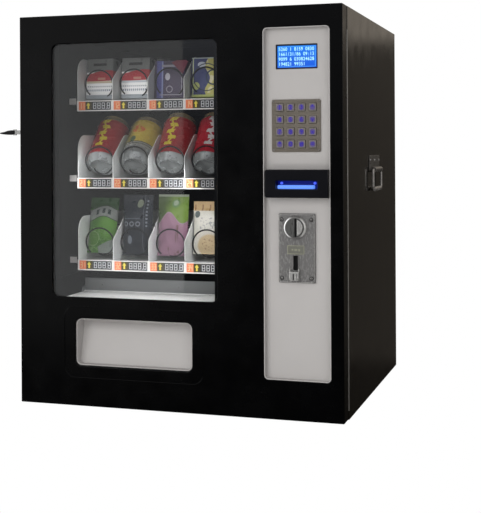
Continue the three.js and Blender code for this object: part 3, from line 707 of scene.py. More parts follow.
def display():
    """A blue dot display with a thin bright line round it, in a black surround."""
    node = Box("display_module")
    board = block("display_board", node.x, depths(15.6, 17.6), node.z, 0.3)
    paint(board, plastic("board_green", (0.01, 0.06, 0.03), 0.4))
    can = block("display_can", widen(DISPLAY_X, -15), depths(17.6, 27.5), widen(DISPLAY_Z, -8))
    paint(can, BLACK_PLASTIC)
    window = rounded_rect(widen(DISPLAY_X, -2.4), widen(DISPLAY_Z, -2.6), 0.6, 3)
    rim = rounded_rect(widen(DISPLAY_X, 4), widen(DISPLAY_Z, 4), 1, 3)
    surround = plate("display_surround", [rim, window], depths(13.9, 15.6), 0.25)
    paint(surround, BLACK_PLASTIC)
    screen_x, screen_z = widen(DISPLAY_X, -1.5), widen(DISPLAY_Z, -1.5)
    screen = block("display_screen", screen_x, depths(14.9, 15.6), screen_z, 0)
    paint(screen, screen_blue())
    line = rim_and_hole(widen(DISPLAY_X, -4.2), widen(DISPLAY_Z, -4), 0.7, 0.4, 0.3, 2)
    letters = screen_digits()
    edge = plate("display_edge", line, depths(14.75, 14.95), 0.05)
    paint(edge, glow("screen_edge", (0.08, 0.42, 0.95), 0.9))
    module = join("display_unit", [board, can, surround, screen, *letters, edge])
    stand_in(module, "display_module", "door")


# ------------------------------------------------------------------ keypad

KEY_SIGNS = ("1", "2", "3", "^", "4", "5", "6", "v", "7", "8", "9", "x", "*", "0", "#", "=")


def keypad():
    node = Box("keypad_plate")
    x, z = node.x, node.z
    holes = []
    keys = [f"key_{r}{c}" for r in range(1, 5) for c in range(1, 5)]
    for name in keys:
        key = Box(name)
        sides, rise = around(key.centre.x, 6.8), around(key.centre.z, 7.05)
        holes.append(rounded_rect(sides, rise, 1.4, 4))
    face = plate("keypad_face", [rounded_rect(x, z, 3, 6), *holes], depths(9.7, 11.7), 0.5, edge_steps=3)
    paint(face, STEEL_ACROSS)
    ring = rounded_rect(widen(x, -3.5), widen(z, -3.5), 2, 3)
    hollow = rounded_rect(widen(x, -5), widen(z, -5), 1, 3)
    housing = paint(plate("keypad_housing", [ring, hollow], depths(11.7, 21.9), 0.3), BLACK_PLASTIC)
    board = paint(plate("keypad_board", [ring], depths(20.5, 22), 0.3), BLACK_PLASTIC)
    rivets = []
    for corner_x in (x[0] + 3.2 * MM, x[1] - 3.2 * MM):
        for corner_z in (z[0] + 3.2 * MM, z[1] - 3.2 * MM):
            rivets.append(screw_head("keypad_screw", (corner_x, behind(9.7), corner_z), "-y", 1.5, 0.6))
    unit = join("keypad_unit", [face, housing, board, *rivets])
    stand_in(unit, "keypad_plate", "door")
    for name, sign in zip(keys, KEY_SIGNS):
        push_key(name, sign)


def push_key(name, sign):
    """A steel key cap with a dished lit sign."""
    node = Box(name)
    middle = node.centre

    def layer(near, far):
        return (node.lo.y + near * MM, node.lo.y + far * MM)

    rim = rounded_rect(around(middle.x, 6.5), around(middle.z, 6.75), 1.3, 4)
    cap = plate(name + "_cap", [rim], layer(0, 4.7), 0.8, edge_steps=3)
    paint(cap, KEY_STEEL)
    skirt = plate(name + "_skirt", [rounded_rect(node.x, node.z, 1, 2)], layer(4.5, 5.7), 0.2)
    paint(skirt, BLACK_PLASTIC)
    foot = (node.lo.y + 5.5 * MM, node.hi.y)
    stem = block(name + "_stem", around(middle.x, 2.5), foot, around(middle.z, 2.5), 0.3)
    paint(stem, BLACK_PLASTIC)
    disc = circle(middle.x, middle.z, 5, 24)
    halo = paint(plate(name + "_halo", [disc], layer(-0.03, 0.4), 0.1), KEY_HALO)
    place = (middle.x, middle.z)
    label = lettering(name + "_sign", sign, 8 * MM, place, node.lo.y - 0.08 * MM, 0.95, 0.2 * MM)
    paint(label, KEY_GLOW)
    key = join(name + "_button", [cap, skirt, stem, halo, label])
    stand_in(key, name, name)


# ------------------------------------------------------------------ note acceptor


def note_acceptor():
    node = Box("note_acceptor")
    front = node.lo.y
    x0, x1 = 0.1705, 0.2828
    low, high = 0.390, 0.439
    cut = 2.5 * MM
    outline = [(x0, low + cut), (x0, high - cut), (x0 + cut, high), (x1, high), (x1, low), (x0 + cut, low)]
    mouth = rounded_rect((0.190, 0.264), (0.405, 0.4195), 2.2, 5)
    bezel = plate("note_bezel", [outline, mouth], (front, behind(11.7)), 1.6, edge_steps=4)
    parts = [paint(bezel, BEZEL_PLASTIC)]
    throat = plate("note_throat", [rounded_rect((0.186, 0.268), (0.401, 0.4235), 2, 4)], depths(9, 11), 0.3)
    parts.append(paint(throat, glow("note_inside", (0.0, 0.004, 0.16), 0.7)))
    lip = block("note_lip", (0.1925, 0.2565), (front + 4 * MM, behind(9)), (0.4055, 0.4118), 1.4, 3)
    parts.append(paint(lip, BLUE_LIP))
    for x in (0.1995, 0.2585):
        profile = from_place([(0, -0.6), (1.6, -0.4), (2.4, 0.6), (2.4, 3)])
        lamp = lathe("note_lamp", profile, "y", (x, front + 6 * MM, 0.4155), 16)
        parts.append(paint(lamp, BLUE_LAMP))
    neck = block("note_neck", (0.186, 0.266), depths(11.7, 17), (0.396, 0.433), 0.5)
    stacker = block(
        "note_stacker", (node.lo.x + 7.5 * MM, node.hi.x - 6.8 * MM), (behind(15), node.hi.y), node.z, 2, 3,
    )
    ribs = []
    rib_x = (node.lo.x + 6.9 * MM, node.hi.x - 6.2 * MM)
    for i in range(6):
        z = node.lo.z + 12 * MM + i * 11 * MM
        ribs.append(block("note_rib", rib_x, depths(25, 105), (z, z + 2 * MM), 0.5))
    cover = block("note_cover", (0.19, 0.264), (node.hi.y - 0.4 * MM, node.hi.y), (0.384, 0.448), 0.1)
    parts += [paint(o, BLACK_PLASTIC) for o in (neck, stacker, *ribs, cover)]
    unit = join("note_unit", parts)
    stand_in(unit, "note_acceptor", "door")


# ------------------------------------------------------------------ coin acceptor

COIN_CENTRE = (0.2215, 0.3378)
COIN_RADIUS = 20


def button_outline(radius, start):
    angle = math.degrees(math.acos(start / radius))
    return circle(*COIN_CENTRE, radius, 24, -angle, 2 * angle)


def dome_metal():
    """Polished metal with painted highlights on the left and the right of its rounded rim."""
    look = Pattern("coin_dome", (0.16, 0.155, 0.15), 0.25, 0.4)
    offset = look.math("SUBTRACT", look.x, COIN_CENTRE[0])
    # Painted highlights: near white on the left, lighter steel on the right.
    look.print(look.below(offset, -9 * MM, 8 * MM), (1.0, 0.99, 0.98))
    look.print(look.above(offset, 11 * MM, 6 * MM), (0.55, 0.54, 0.52))
    return look.done()


def coin_lip():
    """The return lip: a spout under the return slot, with an ear on each side, in the lighter steel painted
    as highlight, and black strips as painted shade for its flutes.
    """
    front, back = depths(-3, 6.5)
    spout = [
        (0.2115, 0.2612), (0.2115, 0.2478), (0.214, 0.2452), (0.226, 0.2452), (0.2285, 0.2478),
        (0.2285, 0.2612),
    ]
    parts = [plate("coin_spout", [spout], (front, back), 1.6, edge_steps=4)]
    for x in (0.2108, 0.2268):
        ear = rounded_rect((x, x + 2.2 * MM), (0.259, 0.2665), 1, 4)
        parts.append(plate("coin_ear", [ear], (behind(1), back), 0.8, edge_steps=3))
    lip = [paint(piece, COIN_HIGHLIGHT_STEEL) for piece in parts]
    # The flutes are black strips of painted shade on the spout's face.
    for x, half in ((0.2195, 1.1), (0.2255, 0.5)):
        flute = rounded_rect(around(x, half), (0.2468, 0.258), 0.4, 3)
        groove_shade = plate("coin_flute_shade", [flute], (front - 0.02 * MM, front + 1 * MM), 0.05)
        lip.append(paint(groove_shade, PAINTED_SHADE_BLACK))
    return lip


def coin_label():
    """A small framed label with three plain marks."""
    x, z = (0.2068, 0.2372), (0.2912, 0.3066)
    rim = plate("coin_label_rim", rim_and_hole(x, z, 1.3, 1, 0.6, 4), depths(5.4, 6.5), 0.15)
    parts = [paint(rim, LABEL_BRASS)]
    field = rounded_rect(widen(x, -1.2), widen(z, -1.2), 0.6, 4)
    parts.append(paint(plate("coin_label_field", [field], depths(5.8, 6.4), 0.1), COIN_LABEL))
    for i, span in enumerate([(0.2145, 0.2175), (0.2195, 0.2245), (0.2265, 0.2295)]):
        bar = rounded_rect(span, (0.2975 - i * 0.4 * MM, 0.3005), 0.3, 2)
        parts.append(paint(plate("coin_label_mark", [bar], depths(5.6, 6), 0.05), LABEL_BRASS))
    return parts


def coin_screws(x, z):
    """A black disc as painted shade of the recess in each corner, and the screws in them."""
    screw_shades, heads = [], []
    for sx in widen(x, -6.6):
        for sz in (z[0] + 8.5 * MM, z[1] - 10.5 * MM):
            # Each black disc is painted shade of a screw recess.
            recess = plate("coin_screw_shade", [circle(sx, sz, 3.6, 24)], depths(5.8, 6.3), 0.1)
            screw_shades.append(paint(recess, PAINTED_SHADE_BLACK))
            heads.append(screw_head("coin_screw", (sx, behind(5.9), sz), "-y", 2.4, 1.3))
    return [*screw_shades, *heads]


def coin_faceplate():
    """A raised steel plate with a round boss and the two slots, with black fills as painted shade inside
    the slots.
    """
    node = Box("coin_faceplate")
    x, z = node.x, node.z
    slot_x, slot_z = (0.2213, 0.2249), (0.3215, 0.354)
    return_x, return_z = (0.2175, 0.2260), (0.263, 0.289)
    coin_slot = rounded_rect(slot_x, slot_z, 1, 3)
    return_slot = rounded_rect(return_x, return_z, 1.2, 4)
    button_hole = button_outline(15.3, 4.6)
    holes = [coin_slot, return_slot, button_hole]
    base = plate("coin_base", [rounded_rect(x, z, 2, 5), *holes], depths(8.6, 11.7), 0.5)
    inner = rounded_rect(widen(x, -2.2), widen(z, -2.2), 2, 5)
    raised = plate("coin_raised", [inner, *holes], depths(6, 9.2), 1.5, edge_steps=4)
    dome = [circle(*COIN_CENTRE, COIN_RADIUS - 2.8, 56), coin_slot, button_hole]
    boss = plate("coin_boss", dome, depths(-1, 7.5), 0.2)
    turned = [(18.3, -0.7), (19.2, 0.1), (19.8, 1.2), (20, 2.4), (20, 7.5), (17.1, 7.5)]
    profile = from_place([(17.1, -1), *turned, (17.1, -1)], FRONT)
    ring = lathe("coin_ring", profile, "y", (COIN_CENTRE[0], 0, COIN_CENTRE[1]), 64)
    frame_rim = [rounded_rect(widen(return_x, 1.6), widen(return_z, 1.6), 1.5, 4), return_slot]
    frame_piece = plate("coin_return_frame", frame_rim, depths(4.8, 6.4), 0.35)
    metal = [paint(o, COIN_STEEL) for o in (base, raised, frame_piece)]
    # The boss face takes the darker steel as painted shade; the turned ring carries painted highlights.
    metal += [paint(boss, STEEL_SHADE), paint(ring, dome_metal())]
    # A thin tube of the lighter steel along the raised plate's rounded edge: a painted highlight.
    rim = [(a, behind(6.5), b) for a, b in rounded_rect(widen(x, -1.6), widen(z, -1.6), 2, 5)]
    bright = [paint(tube("coin_rim_highlight", rim, 0.6, 3, cyclic=True), COIN_HIGHLIGHT_STEEL), *coin_lip()]
    label = coin_label()
    dark = []
    # Black fills inside the coin slot and the return slot: painted shade.
    shade_fills = (("coin_slot_shade", slot_x, slot_z, 0.2), ("coin_return_shade", return_x, return_z, 8))
    for name, sides, rise, depth in shade_fills:
        fill_outline = rounded_rect(widen(sides, 0.2), widen(rise, 0.2), 1, 3)
        dark.append(paint(plate(name, [fill_outline], depths(depth, 10.8), 0.1), PAINTED_SHADE_BLACK))
    unit = join("coin_plate", [*metal, *bright, *label, *dark, *coin_screws(x, z)])
    stand_in(unit, "coin_faceplate", "door")


def coin_button():
    """The pressed half-round button on the right of the coin boss, in the lighter steel painted as
    highlight.
    """
    node = Box("coin_reject_button")
    cap = plate("reject_cap", [button_outline(15, 4.9)], (node.lo.y, behind(12.6)), 1.2, edge_steps=4)
    retainer = plate("reject_retainer", [button_outline(17, 4.9)], (behind(12.2), node.hi.y), 0.2)
    button = join("coin_reject_cap", [cap, retainer])
    stand_in(button, "coin_reject_button", "reject_button", COIN_HIGHLIGHT_STEEL)


def coin_mechanism():
    node = Box("coin_mech")
    x, y, z = node.x, node.y, node.z
    body = block("coin_body", x, (behind(21), y[1]), z, 1.5, 3)
    flange = plate(
        "coin_mech_flange",
        [rounded_rect(x, z, 2, 3), rounded_rect((0.219, 0.244), (0.318, 0.358), 1, 2)],
        (y[0], behind(21)), 0.4,
    )
    parts = [paint(body, BLACK_PLASTIC), paint(flange, BLACK_PLASTIC)]
    side_plate = block("coin_side", (x[0], x[0] + 1 * MM), depths(28, 92), widen(z, -6), 0.3)
    parts.append(paint(side_plate, STEEL_DARK))
    gate_z = (z[0] + 70 * MM, z[1] - 12 * MM)
    gate = block("coin_gate", widen(x, -12), (y[1] - 0.5 * MM, y[1]), gate_z, 0.2)
    parts.append(paint(gate, STEEL_DARK))
    unit = join("coin_mechanism", parts)
    stand_in(unit, "coin_mech", "door")


# ------------------------------------------------------------------ pieces that keep their CAD mesh


def keep_cad(node, material, edge):
    """Dresses a CAD node, softening its edges without touching its own vertices."""
    obj = frame["nodes"][node]
    paint(obj, material)
    obj.data.normals_split_custom_set([(0, 0, 0)] * len(obj.data.loops))
    obj.data.shade_smooth()
    join_points = obj.modifiers.new("weld", "WELD")
    join_points.merge_threshold = 1e-5
    bevel = obj.modifiers.new("bevel", "BEVEL")
    bevel.width = edge * MM
    bevel.segments = 2
    bevel.limit_method = "ANGLE"
    bevel.angle_limit = math.radians(50)
    even = obj.modifiers.new("even_normals", "WEIGHTED_NORMAL")
    even.mode = "FACE_AREA"
    even.weight = 50


def inner_parts():
    keep_cad("cabinet_shell", SIDE_PAINT, 0.9)
    keep_cad("back_panel", INNER_BLACK, 0.3)
    keep_cad("partition", INNER_BLACK, 0.3)
    keep_cad("tray_rack_left", INNER_BLACK, 0.3)
    keep_cad("control_box", STEEL_DARK, 0.4)
    keep_cad("hinge_leaf_cabinet", HINGE_STEEL, 0.2)
    keep_cad("hinge_leaf_door", HINGE_STEEL, 0.2)
    for number in range(1, ROWS + 1):
        keep_cad(f"motor_bank_{number}", BLACK_PLASTIC, 0.6)


# ------------------------------------------------------------------ chute and drop baffle


def delivery_chute():
    node = Box("delivery_chute")
    front, back = behind(46), behind(144.5)
    x0, x1 = node.lo.x, node.hi.x
    cheek = [
        (front, 2.3 * MM), (back, 2.3 * MM), (back, 206 * MM), (behind(130), 206 * MM),
        (behind(117), 186 * MM), (front, 180 * MM),
    ]
    parts = [
        plate("chute_left", [cheek], (x0, x0 + 1.5 * MM), 0.3, "side"),
        plate("chute_right", [cheek], (x1 - 1.5 * MM, x1), 0.3, "side"),
        plate("chute_bed", [rect_outline(node.x, (front, back))], mm(66, 67.5), 0.3, "top"),
        plate("chute_wall", [rect_outline(node.x, mm(66, 222))], (back - 1.5 * MM, back), 0.4),
    ]
    chute = join("chute_sheets", parts)
    stand_in(chute, "delivery_chute", "cabinet", FASCIA_GREY)
    span = x1 - x0
    centres = [(x0 + span * share, back - 1.5 * MM, 0.2085) for share in (0.12, 0.66)]
    screws("chute_screws", centres, "-y", "cabinet", 2.2)
    caps = []
    for row in range(1, ROWS + 1):
        z = floor_z(row)
        rise = (z - 4.5 * MM, z + 7.5 * MM)
        caps.append(block("guide_cap", (-0.255, -0.2405), depths(106.2, 108), rise, 0.4))
    dress(join("guide_caps", caps), GREY_PAINT, "cabinet")


def drop_baffle():
    half = 145.5 * MM
    middle = -91 * MM
    near, far = behind(50), behind(139)
    outline = [(middle - half, near), (middle + half, near), (middle + half, far)]
    for side in (1, -1):
        notch = middle + side * (half - 30 * MM)
        outline += [(notch + side * 6 * MM, far), (notch, behind(123)), (notch - side * 6 * MM, far)]
    outline.append((middle - half, far))
    z = 196 * MM
    sheet = plate("baffle_sheet", [outline], (z - 0.8 * MM, z + 0.8 * MM), 0.3, "top")
    profile = from_place(
        [(0, -148.1), (1.92, -148.1), (2.4, -147.7), (2.4, 147.7), (1.92, 148.1), (0, 148.1)],
    )
    rod = lathe("baffle_rod", profile, "x", (middle, far, z), 16)
    baffle = join("baffle_plate", [sheet, rod])
    stand_in(baffle, "drop_baffle", "baffle", WHITE_PAINT)


# ------------------------------------------------------------------ trays and coils

TRAY_X = (-0.238, 0.056)
PITCH = 73.5 * MM
TRAY_FRONT = behind(106)
TRAY_BACK = behind(506)
DIVIDER = 86 * MM
NOSE = 30


def lane_x(lane):
    return TRAY_X[0] + PITCH * (lane - 0.5)


def floor_z(row):
    return Box(f"tray_{row}").lo.z + 17.5 * MM


def divider_outline(z, inner):
    """A divider seen from the side: round nose on the outer ones, sloping corner on the inner ones."""
    front = TRAY_FRONT + 1 * MM
    low = z - 1.5 * MM
    outline = [(TRAY_BACK, low), (TRAY_BACK, z + DIVIDER)]
    if inner:
        outline += [(TRAY_FRONT + 66 * MM, z + 86 * MM), (TRAY_FRONT + 58 * MM, z + 83.5 * MM)]
        outline += [(TRAY_FRONT + 4 * MM, z + 45.2 * MM), (front, z + 41 * MM)]
    else:
        outline += circle(front + NOSE * MM, z + DIVIDER - NOSE * MM, NOSE, 18, 90, 90)
    return [*outline, (front, low)]


def tray(row):
    z = floor_z(row)
    sheet = 1.5 * MM
    rail = rounded_rect(TRAY_X, (z - 17.5 * MM, z + 2 * MM), 0.6, 2)
    parts = [
        plate("tray_floor", [rect_outline(TRAY_X, (TRAY_FRONT, TRAY_BACK))], (z - sheet, z), 0.3, "top"),
        plate("tray_rail", [rail], (TRAY_FRONT, TRAY_FRONT + 2 * MM), 0.4),
    ]
    shaft_holes = [circle(lane_x(n), z + SHAFT, 7, 20) for n in range(1, LANES + 1)]
    rear = rect_outline(TRAY_X, (z - sheet, z + 75 * MM))
    parts.append(plate("tray_rear", [rear, *shaft_holes], (TRAY_BACK - sheet, TRAY_BACK), 0.3))
    for i in range(LANES + 1):
        x = TRAY_X[0] + i * PITCH - sheet * i / LANES
        outline = divider_outline(z, 0 < i < LANES)
        parts.append(plate("tray_divider", [outline], (x, x + sheet), 0.5, "side"))
    whole = join(f"tray_sheets_{row}", parts)
    stand_in(whole, f"tray_{row}", f"tray_{row}", TRAY_WHITE)


SHAFT = 36 * MM
COIL_START = 18 * MM
COIL_TURNS = 6.639


def coil_advance(turn):
    """How far along its axis the wire has come. The first turn is nearly flat."""
    return 58 * MM * turn**3 / (turn**2 + 1.2)


def coil(row, lane):
    """A round-wire spiral with its spoke and shaft."""
    radius = 27 * MM
    centre = Vector((lane_x(lane), TRAY_FRONT + COIL_START, floor_z(row) + SHAFT))
    points = []
    steps = int(COIL_TURNS * 40)
    for i in range(steps + 1):
        turn = COIL_TURNS * i / steps
        angle = 2 * math.pi * (turn - 140 / 360)
        offset = Vector((radius * math.sin(angle), coil_advance(turn), radius * math.cos(angle)))
        points.append(centre + offset)
    wire_piece = tube("wire", points, 1.5, 3)
    end = centre.y + coil_advance(COIL_TURNS)
    spoke = tube("spoke", [(centre.x, end, centre.z), (centre.x + radius, end, centre.z)], 1.5, 3)
    profile = from_place([(0, -3), (4.4, -3), (5, -2.4)], end) + from_place([(5, 17), (0, 17)], TRAY_BACK)
    shaft = lathe("shaft", profile, "y", (centre.x, 0, centre.z), 18)
    whole = join(f"spiral_{row}{lane}", [wire_piece, spoke, shaft])
    name = f"coil_{row}{lane}"
    stand_in(whole, name, name, COIL_BLACK)


# ------------------------------------------------------------------ price labels

SEGMENTS = {
    "0": "abcdef", "1": "bc", "2": "abged", "3": "abgcd", "4": "fgbc",
    "5": "afgcd", "6": "afgedc", "7": "abc", "8": "abcdefg", "9": "abcdfg",
}


def flat_faces(name, outlines, y):
    """Flat shapes facing the front."""
    bm = bmesh.new()
    for points in outlines:
        bm.faces.new([bm.verts.new((a, y, b)) for a, b in points])
    mesh = bpy.data.meshes.new(name)
    bm.normal_update()
    for face in bm.faces:
        if face.normal.y > 0:
            face.normal_flip()
    bm.to_mesh(mesh)
    bm.free()
    return mesh_object(name, mesh)


def seven_segment(sign, x, z, width, height, thick):
    """The bars of one digit, whose lower left corner is at x, z."""
    half = height / 2
    bars = {
        "a": ((x, x + width), (z + height - thick, z + height)),
        "b": ((x + width - thick, x + width), (z + half, z + height)),
        "c": ((x + width - thick, x + width), (z, z + half)),
        "d": ((x, x + width), (z, z + thick)),
        "e": ((x, x + thick), (z, z + half)),
        "f": ((x, x + thick), (z + half, z + height)),
        "g": ((x, x + width), (z + half - thick / 2, z + half + thick / 2)),
    }
    gap = thick / MM * 0.12
    shapes = []
    for letter in SEGMENTS[sign]:
        across, up = bars[letter]
        shapes.append(rect_outline(widen(across, -gap), widen(up, -gap)))
    return shapes


def arrow_outline(x, z, width, height):
    middle = x + width / 2
    shaft = width * 0.22
    neck = z + height * 0.55
    return [
        (middle - shaft, z), (middle + shaft, z), (middle + shaft, neck), (x + width, neck),
        (middle, z + height), (x, neck), (middle - shaft, neck),
    ]


def price_strip(row):
    """A white label rail with a slot number, an arrow and a digital price in front of each lane."""
    z = floor_z(row)
    low, high = z - 18 * MM, z + 2.6 * MM
    front = TRAY_FRONT - 1.6 * MM
    face = front + 0.5 * MM
    windows, orange, dark, arrow_ground = [], [], [], []
    digits, arrows, numbers = [], [], []
    for lane in range(1, LANES + 1):
        x = TRAY_X[0] + PITCH * (lane - 1)
        band = (low + 2.2 * MM, high - 1.9 * MM)
        windows.append(rect_outline((x + 3.8 * MM, x + 71.6 * MM), band))
        orange.append(rect_outline((x + 3.8 * MM, x + 17.8 * MM), band))
        arrow_ground.append(rect_outline((x + 17.8 * MM, x + 31 * MM), band))
        dark.append(rect_outline((x + 31 * MM, x + 71.6 * MM), band))
        height = band[1] - band[0]
        arrows.append(arrow_outline(x + 20.2 * MM, band[0] + 2.2 * MM, 8 * MM, height - 4 * MM))
        for i in range(4):
            left = x + (34.2 + 9.1 * i + (1.6 if i == 3 else 0)) * MM
            digits += seven_segment("8", left, band[0] + 2.4 * MM, 6.6 * MM, height - 4.6 * MM, 1.45 * MM)
        dot = x + 61 * MM
        digits.append(rect_outline((dot, dot + 1.3 * MM), (band[0] + 2.2 * MM, band[0] + 3.6 * MM)))
        for i, sign in enumerate(f"{row}{lane}"):
            left = x + (5.8 + 5.4 * i) * MM
            numbers += seven_segment(sign, left, band[0] + 2.6 * MM, 4.4 * MM, height - 5.2 * MM, 1.25 * MM)
    rim = rounded_rect(TRAY_X, (low, high), 1, 3)
    rail = plate("strip_rail", [rim, *windows], (front, TRAY_FRONT - 0.1 * MM), 0.35)
    backing = plate("strip_back", [rim], (TRAY_FRONT - 0.6 * MM, TRAY_FRONT - 0.1 * MM), 0.1)
    pieces = [
        paint(rail, LABEL_WHITE),
        paint(backing, LABEL_WHITE),
        paint(flat_faces("strip_orange", orange, face), LABEL_ORANGE),
        paint(flat_faces("strip_brown", arrow_ground, face), LABEL_BROWN),
        paint(flat_faces("strip_dark", dark, face), LABEL_DARK),
        paint(flat_faces("strip_arrows", arrows, face - 0.1 * MM), LABEL_YELLOW),
        paint(flat_faces("strip_digits", digits, face - 0.1 * MM), LABEL_INK),
        paint(flat_faces("strip_numbers", numbers, face - 0.1 * MM), LABEL_CREAM),
    ]
    strip = join(f"price_strip_{row}", pieces)
    smooth(strip)
    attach(strip, f"tray_{row}")


# ------------------------------------------------------------------ goods on show


class Pattern(Look):
    """A surface coloured from masks in the piece's own metres: print, and in places painted highlight and
    painted shade.
    """

    def __init__(self, name, colour, roughness, metallic=0.0, level=1.0):
        super().__init__(name, colour, roughness, metallic)
        self.level = level
        self.x, self.y, self.z = self.add("SeparateXYZ", {0: self.coordinates})
        self.tone = shade(colour, level)

    def math(self, operation, a, b=0.0, clamp=False):
        return self.add("Math", {0: a, 1: b}, operation=operation, use_clamp=clamp)[0]

    def above(self, value, limit, soft=0.0005):
        raised = self.math("SUBTRACT", value, limit)
        return self.math("ADD", self.math("MULTIPLY", raised, 1 / soft), 0.5, True)

    def below(self, value, limit, soft=0.0005):
        return self.math("SUBTRACT", 1.0, self.above(value, limit, soft))

    def between(self, value, low, high, soft=0.0005):
        return self.math("MULTIPLY", self.above(value, low, soft), self.below(value, high, soft))

    def both(self, *masks):
        total = masks[0]
        for mask in masks[1:]:
            total = self.math("MULTIPLY", total, mask)
        return total

    def either(self, *masks):
        total = masks[0]
        for mask in masks[1:]:
            total = self.math("MAXIMUM", total, mask)
        return total

    def patch(self, x, z, soft=0.0005):
        return self.both(self.between(self.x, *x, soft), self.between(self.z, *z, soft))

    def distance(self, a, b, centre, squash=1.0):
        across = self.math("SUBTRACT", a, centre[0])
        up = self.math("MULTIPLY", self.math("SUBTRACT", b, centre[1]), squash)
        return self.math("SQRT", self.math("ADD", self.math("POWER", across, 2), self.math("POWER", up, 2)))

    def disc(self, centre, radius, squash=1.0, soft=0.0006):
        return self.below(self.distance(self.x, self.z, centre, squash), radius, soft)

    def ring(self, centre, radius, width, soft=0.0005):
        return self.between(
            self.distance(self.x, self.z, centre), radius - width / 2, radius + width / 2, soft,
        )

    def wave(self, value, height, depth, frequency, phase=0.0):
        """A height that waves along a direction."""
        swing = self.math("SINE", self.math("ADD", self.math("MULTIPLY", value, frequency), phase))
        return self.math("ADD", self.math("MULTIPLY", swing, depth), height)

    def slanted(self, slope):
        """The height after tilting the piece's print by a slope."""
        return self.math("SUBTRACT", self.z, self.math("MULTIPLY", self.x, slope))

    def print(self, mask, colour):
        """Lays a colour where a mask, or each one of several masks, is on: print, and in places painted
        highlight and painted shade.
        """
        if isinstance(mask, tuple):
            mask = self.both(*mask)
        self.tone = self.mix(mask, self.tone, shade(colour, self.level))
        return self

    def done(self):
        self.feed("Base Color", self.tone)
        self.feed("Roughness", self.remap(self.noise(60, 3), 0.25, 0.42))
        return self.bump(self.noise(160, 2), 0.15, 0.0006).material


def stand_goods(obj, row, lane, distance, rise, lean, shift):
    """Puts a piece built at the origin in its lane, leaning back by an angle."""
    turn = Matrix.Rotation(math.radians(-lean), 4, "X")
    place = Vector((lane_x(lane) + shift, behind(distance), floor_z(row) + rise))
    obj.matrix_world = Matrix.Translation(place) @ turn
    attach(obj, f"tray_{row}")


def carton(name, width, depth, height, material):
    obj = block(name, (-width / 2, width / 2), (0, depth), (0, height), 0.9, 3)
    paint(obj, material)
    return smooth(obj)


def pouch(name, width, depth, height, material):
    """A filled pouch: cushioned in the middle, flat along its top and bottom seals."""
    across, up = 22, 36
    bm = bmesh.new()
    grids = []
    for side in (-1, 1):
        grid = []
        for j in range(up + 1):
            v = j / up
            body = max(0.0, min(1.0, (v - 0.03) / 0.2)) * max(0.0, min(1.0, (0.88 - v) / 0.2))
            swell = math.sin(body * math.pi / 2)
            line = []
            for i in range(across + 1):
                u = i / across * 2 - 1
                bulge = swell * (1 - abs(u) ** 3) * depth / 2 + 0.0004
                crease = 0.0006 * math.sin(u * 9 + v * 14) * swell
                narrow = 1 - 0.05 * swell * (1 - v)
                line.append(
                    bm.verts.new((u * width / 2 * narrow, depth / 2 + side * (bulge + crease), v * height)),
                )
            grid.append(line)
        grids.append(grid)
    for side, grid in zip((-1, 1), grids):
        for j in range(up):
            for i in range(across):
                face = [grid[j][i], grid[j][i + 1], grid[j + 1][i + 1], grid[j + 1][i]]
                bm.faces.new(face if side < 0 else list(reversed(face)))
    front, back = grids
    for j in range(up):
        bm.faces.new((front[j][0], front[j + 1][0], back[j + 1][0], back[j][0]))
        bm.faces.new((front[j][-1], back[j][-1], back[j + 1][-1], front[j + 1][-1]))
    for i in range(across):
        bm.faces.new((front[0][i], back[0][i], back[0][i + 1], front[0][i + 1]))
        bm.faces.new((front[-1][i], front[-1][i + 1], back[-1][i + 1], back[-1][i]))
    obj = from_bmesh(name, bm)
    paint(obj, material)
    return smooth(obj, 60)


CAN_RADIUS = 33 * MM
CAN_LENGTH = 112 * MM


def can(name, material):
    bottom = [
        (0, 9), (12, 7.8), (19, 4.6), (22, 1.2), (23.4, 0), (25, 0.8), (28.5, 5.5), (32, 11), (33, 14.5),
    ]
    top = [
        (33, -16), (31.8, -12), (27.6, -4), (27.2, -2.6), (28, -1), (27.4, 0), (26.2, -1), (25.4, -5),
        (0, -5),
    ]
    profile = from_place(bottom) + from_place(top, CAN_LENGTH)
    obj = lathe(name, profile, "z", (0, 0, 0), 56)
    paint(obj, material)
    return smooth(obj, 50)


class CanPrint(Pattern):
    """A printed can: bare metal ends, and a label laid out by angle and height."""

    def __init__(self, name, colour):
        super().__init__(name, colour, 0.25, 0.35)
        turned = self.math("ARCTAN2", self.x, self.math("MULTIPLY", self.y, -1.0))
        self.height = self.z
        self.x = self.math("MULTIPLY", turned, CAN_RADIUS)

    def finish(
        self, low=14 * MM, high=CAN_LENGTH - 14 * MM, metal=(0.4, 0.42, 0.42), rim=(0.36, 0.29, 0.15),
    ):
        bare = self.below(self.height, low)
        crown = self.above(self.height, high)
        self.print(bare, metal).print(crown, rim)
        self.feed(
            "Metallic", self.math("MAXIMUM", self.math("MULTIPLY", self.either(bare, crown), 0.6), 0.2),
        )
        self.feed("Base Color", self.tone)
        self.feed("Roughness", self.remap(self.noise(40, 3), 0.2, 0.32))
        return self.material


def lay_can(obj, row, lane, foot, head, shift):
    """Lays a can from its foot towards its head, both (distance, height) in millimetres."""
    start = Vector((lane_x(lane) + shift, behind(foot[0]), foot[1] * MM))
    end = Vector((lane_x(lane) + shift, behind(head[0]), head[1] * MM))
    along = (end - start).normalized()
    across = Vector((1, 0, 0))
    matrix = Matrix((across, along.cross(across), along)).transposed().to_4x4()
    matrix.translation = start
    obj.matrix_world = matrix
    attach(obj, f"tray_{row}")


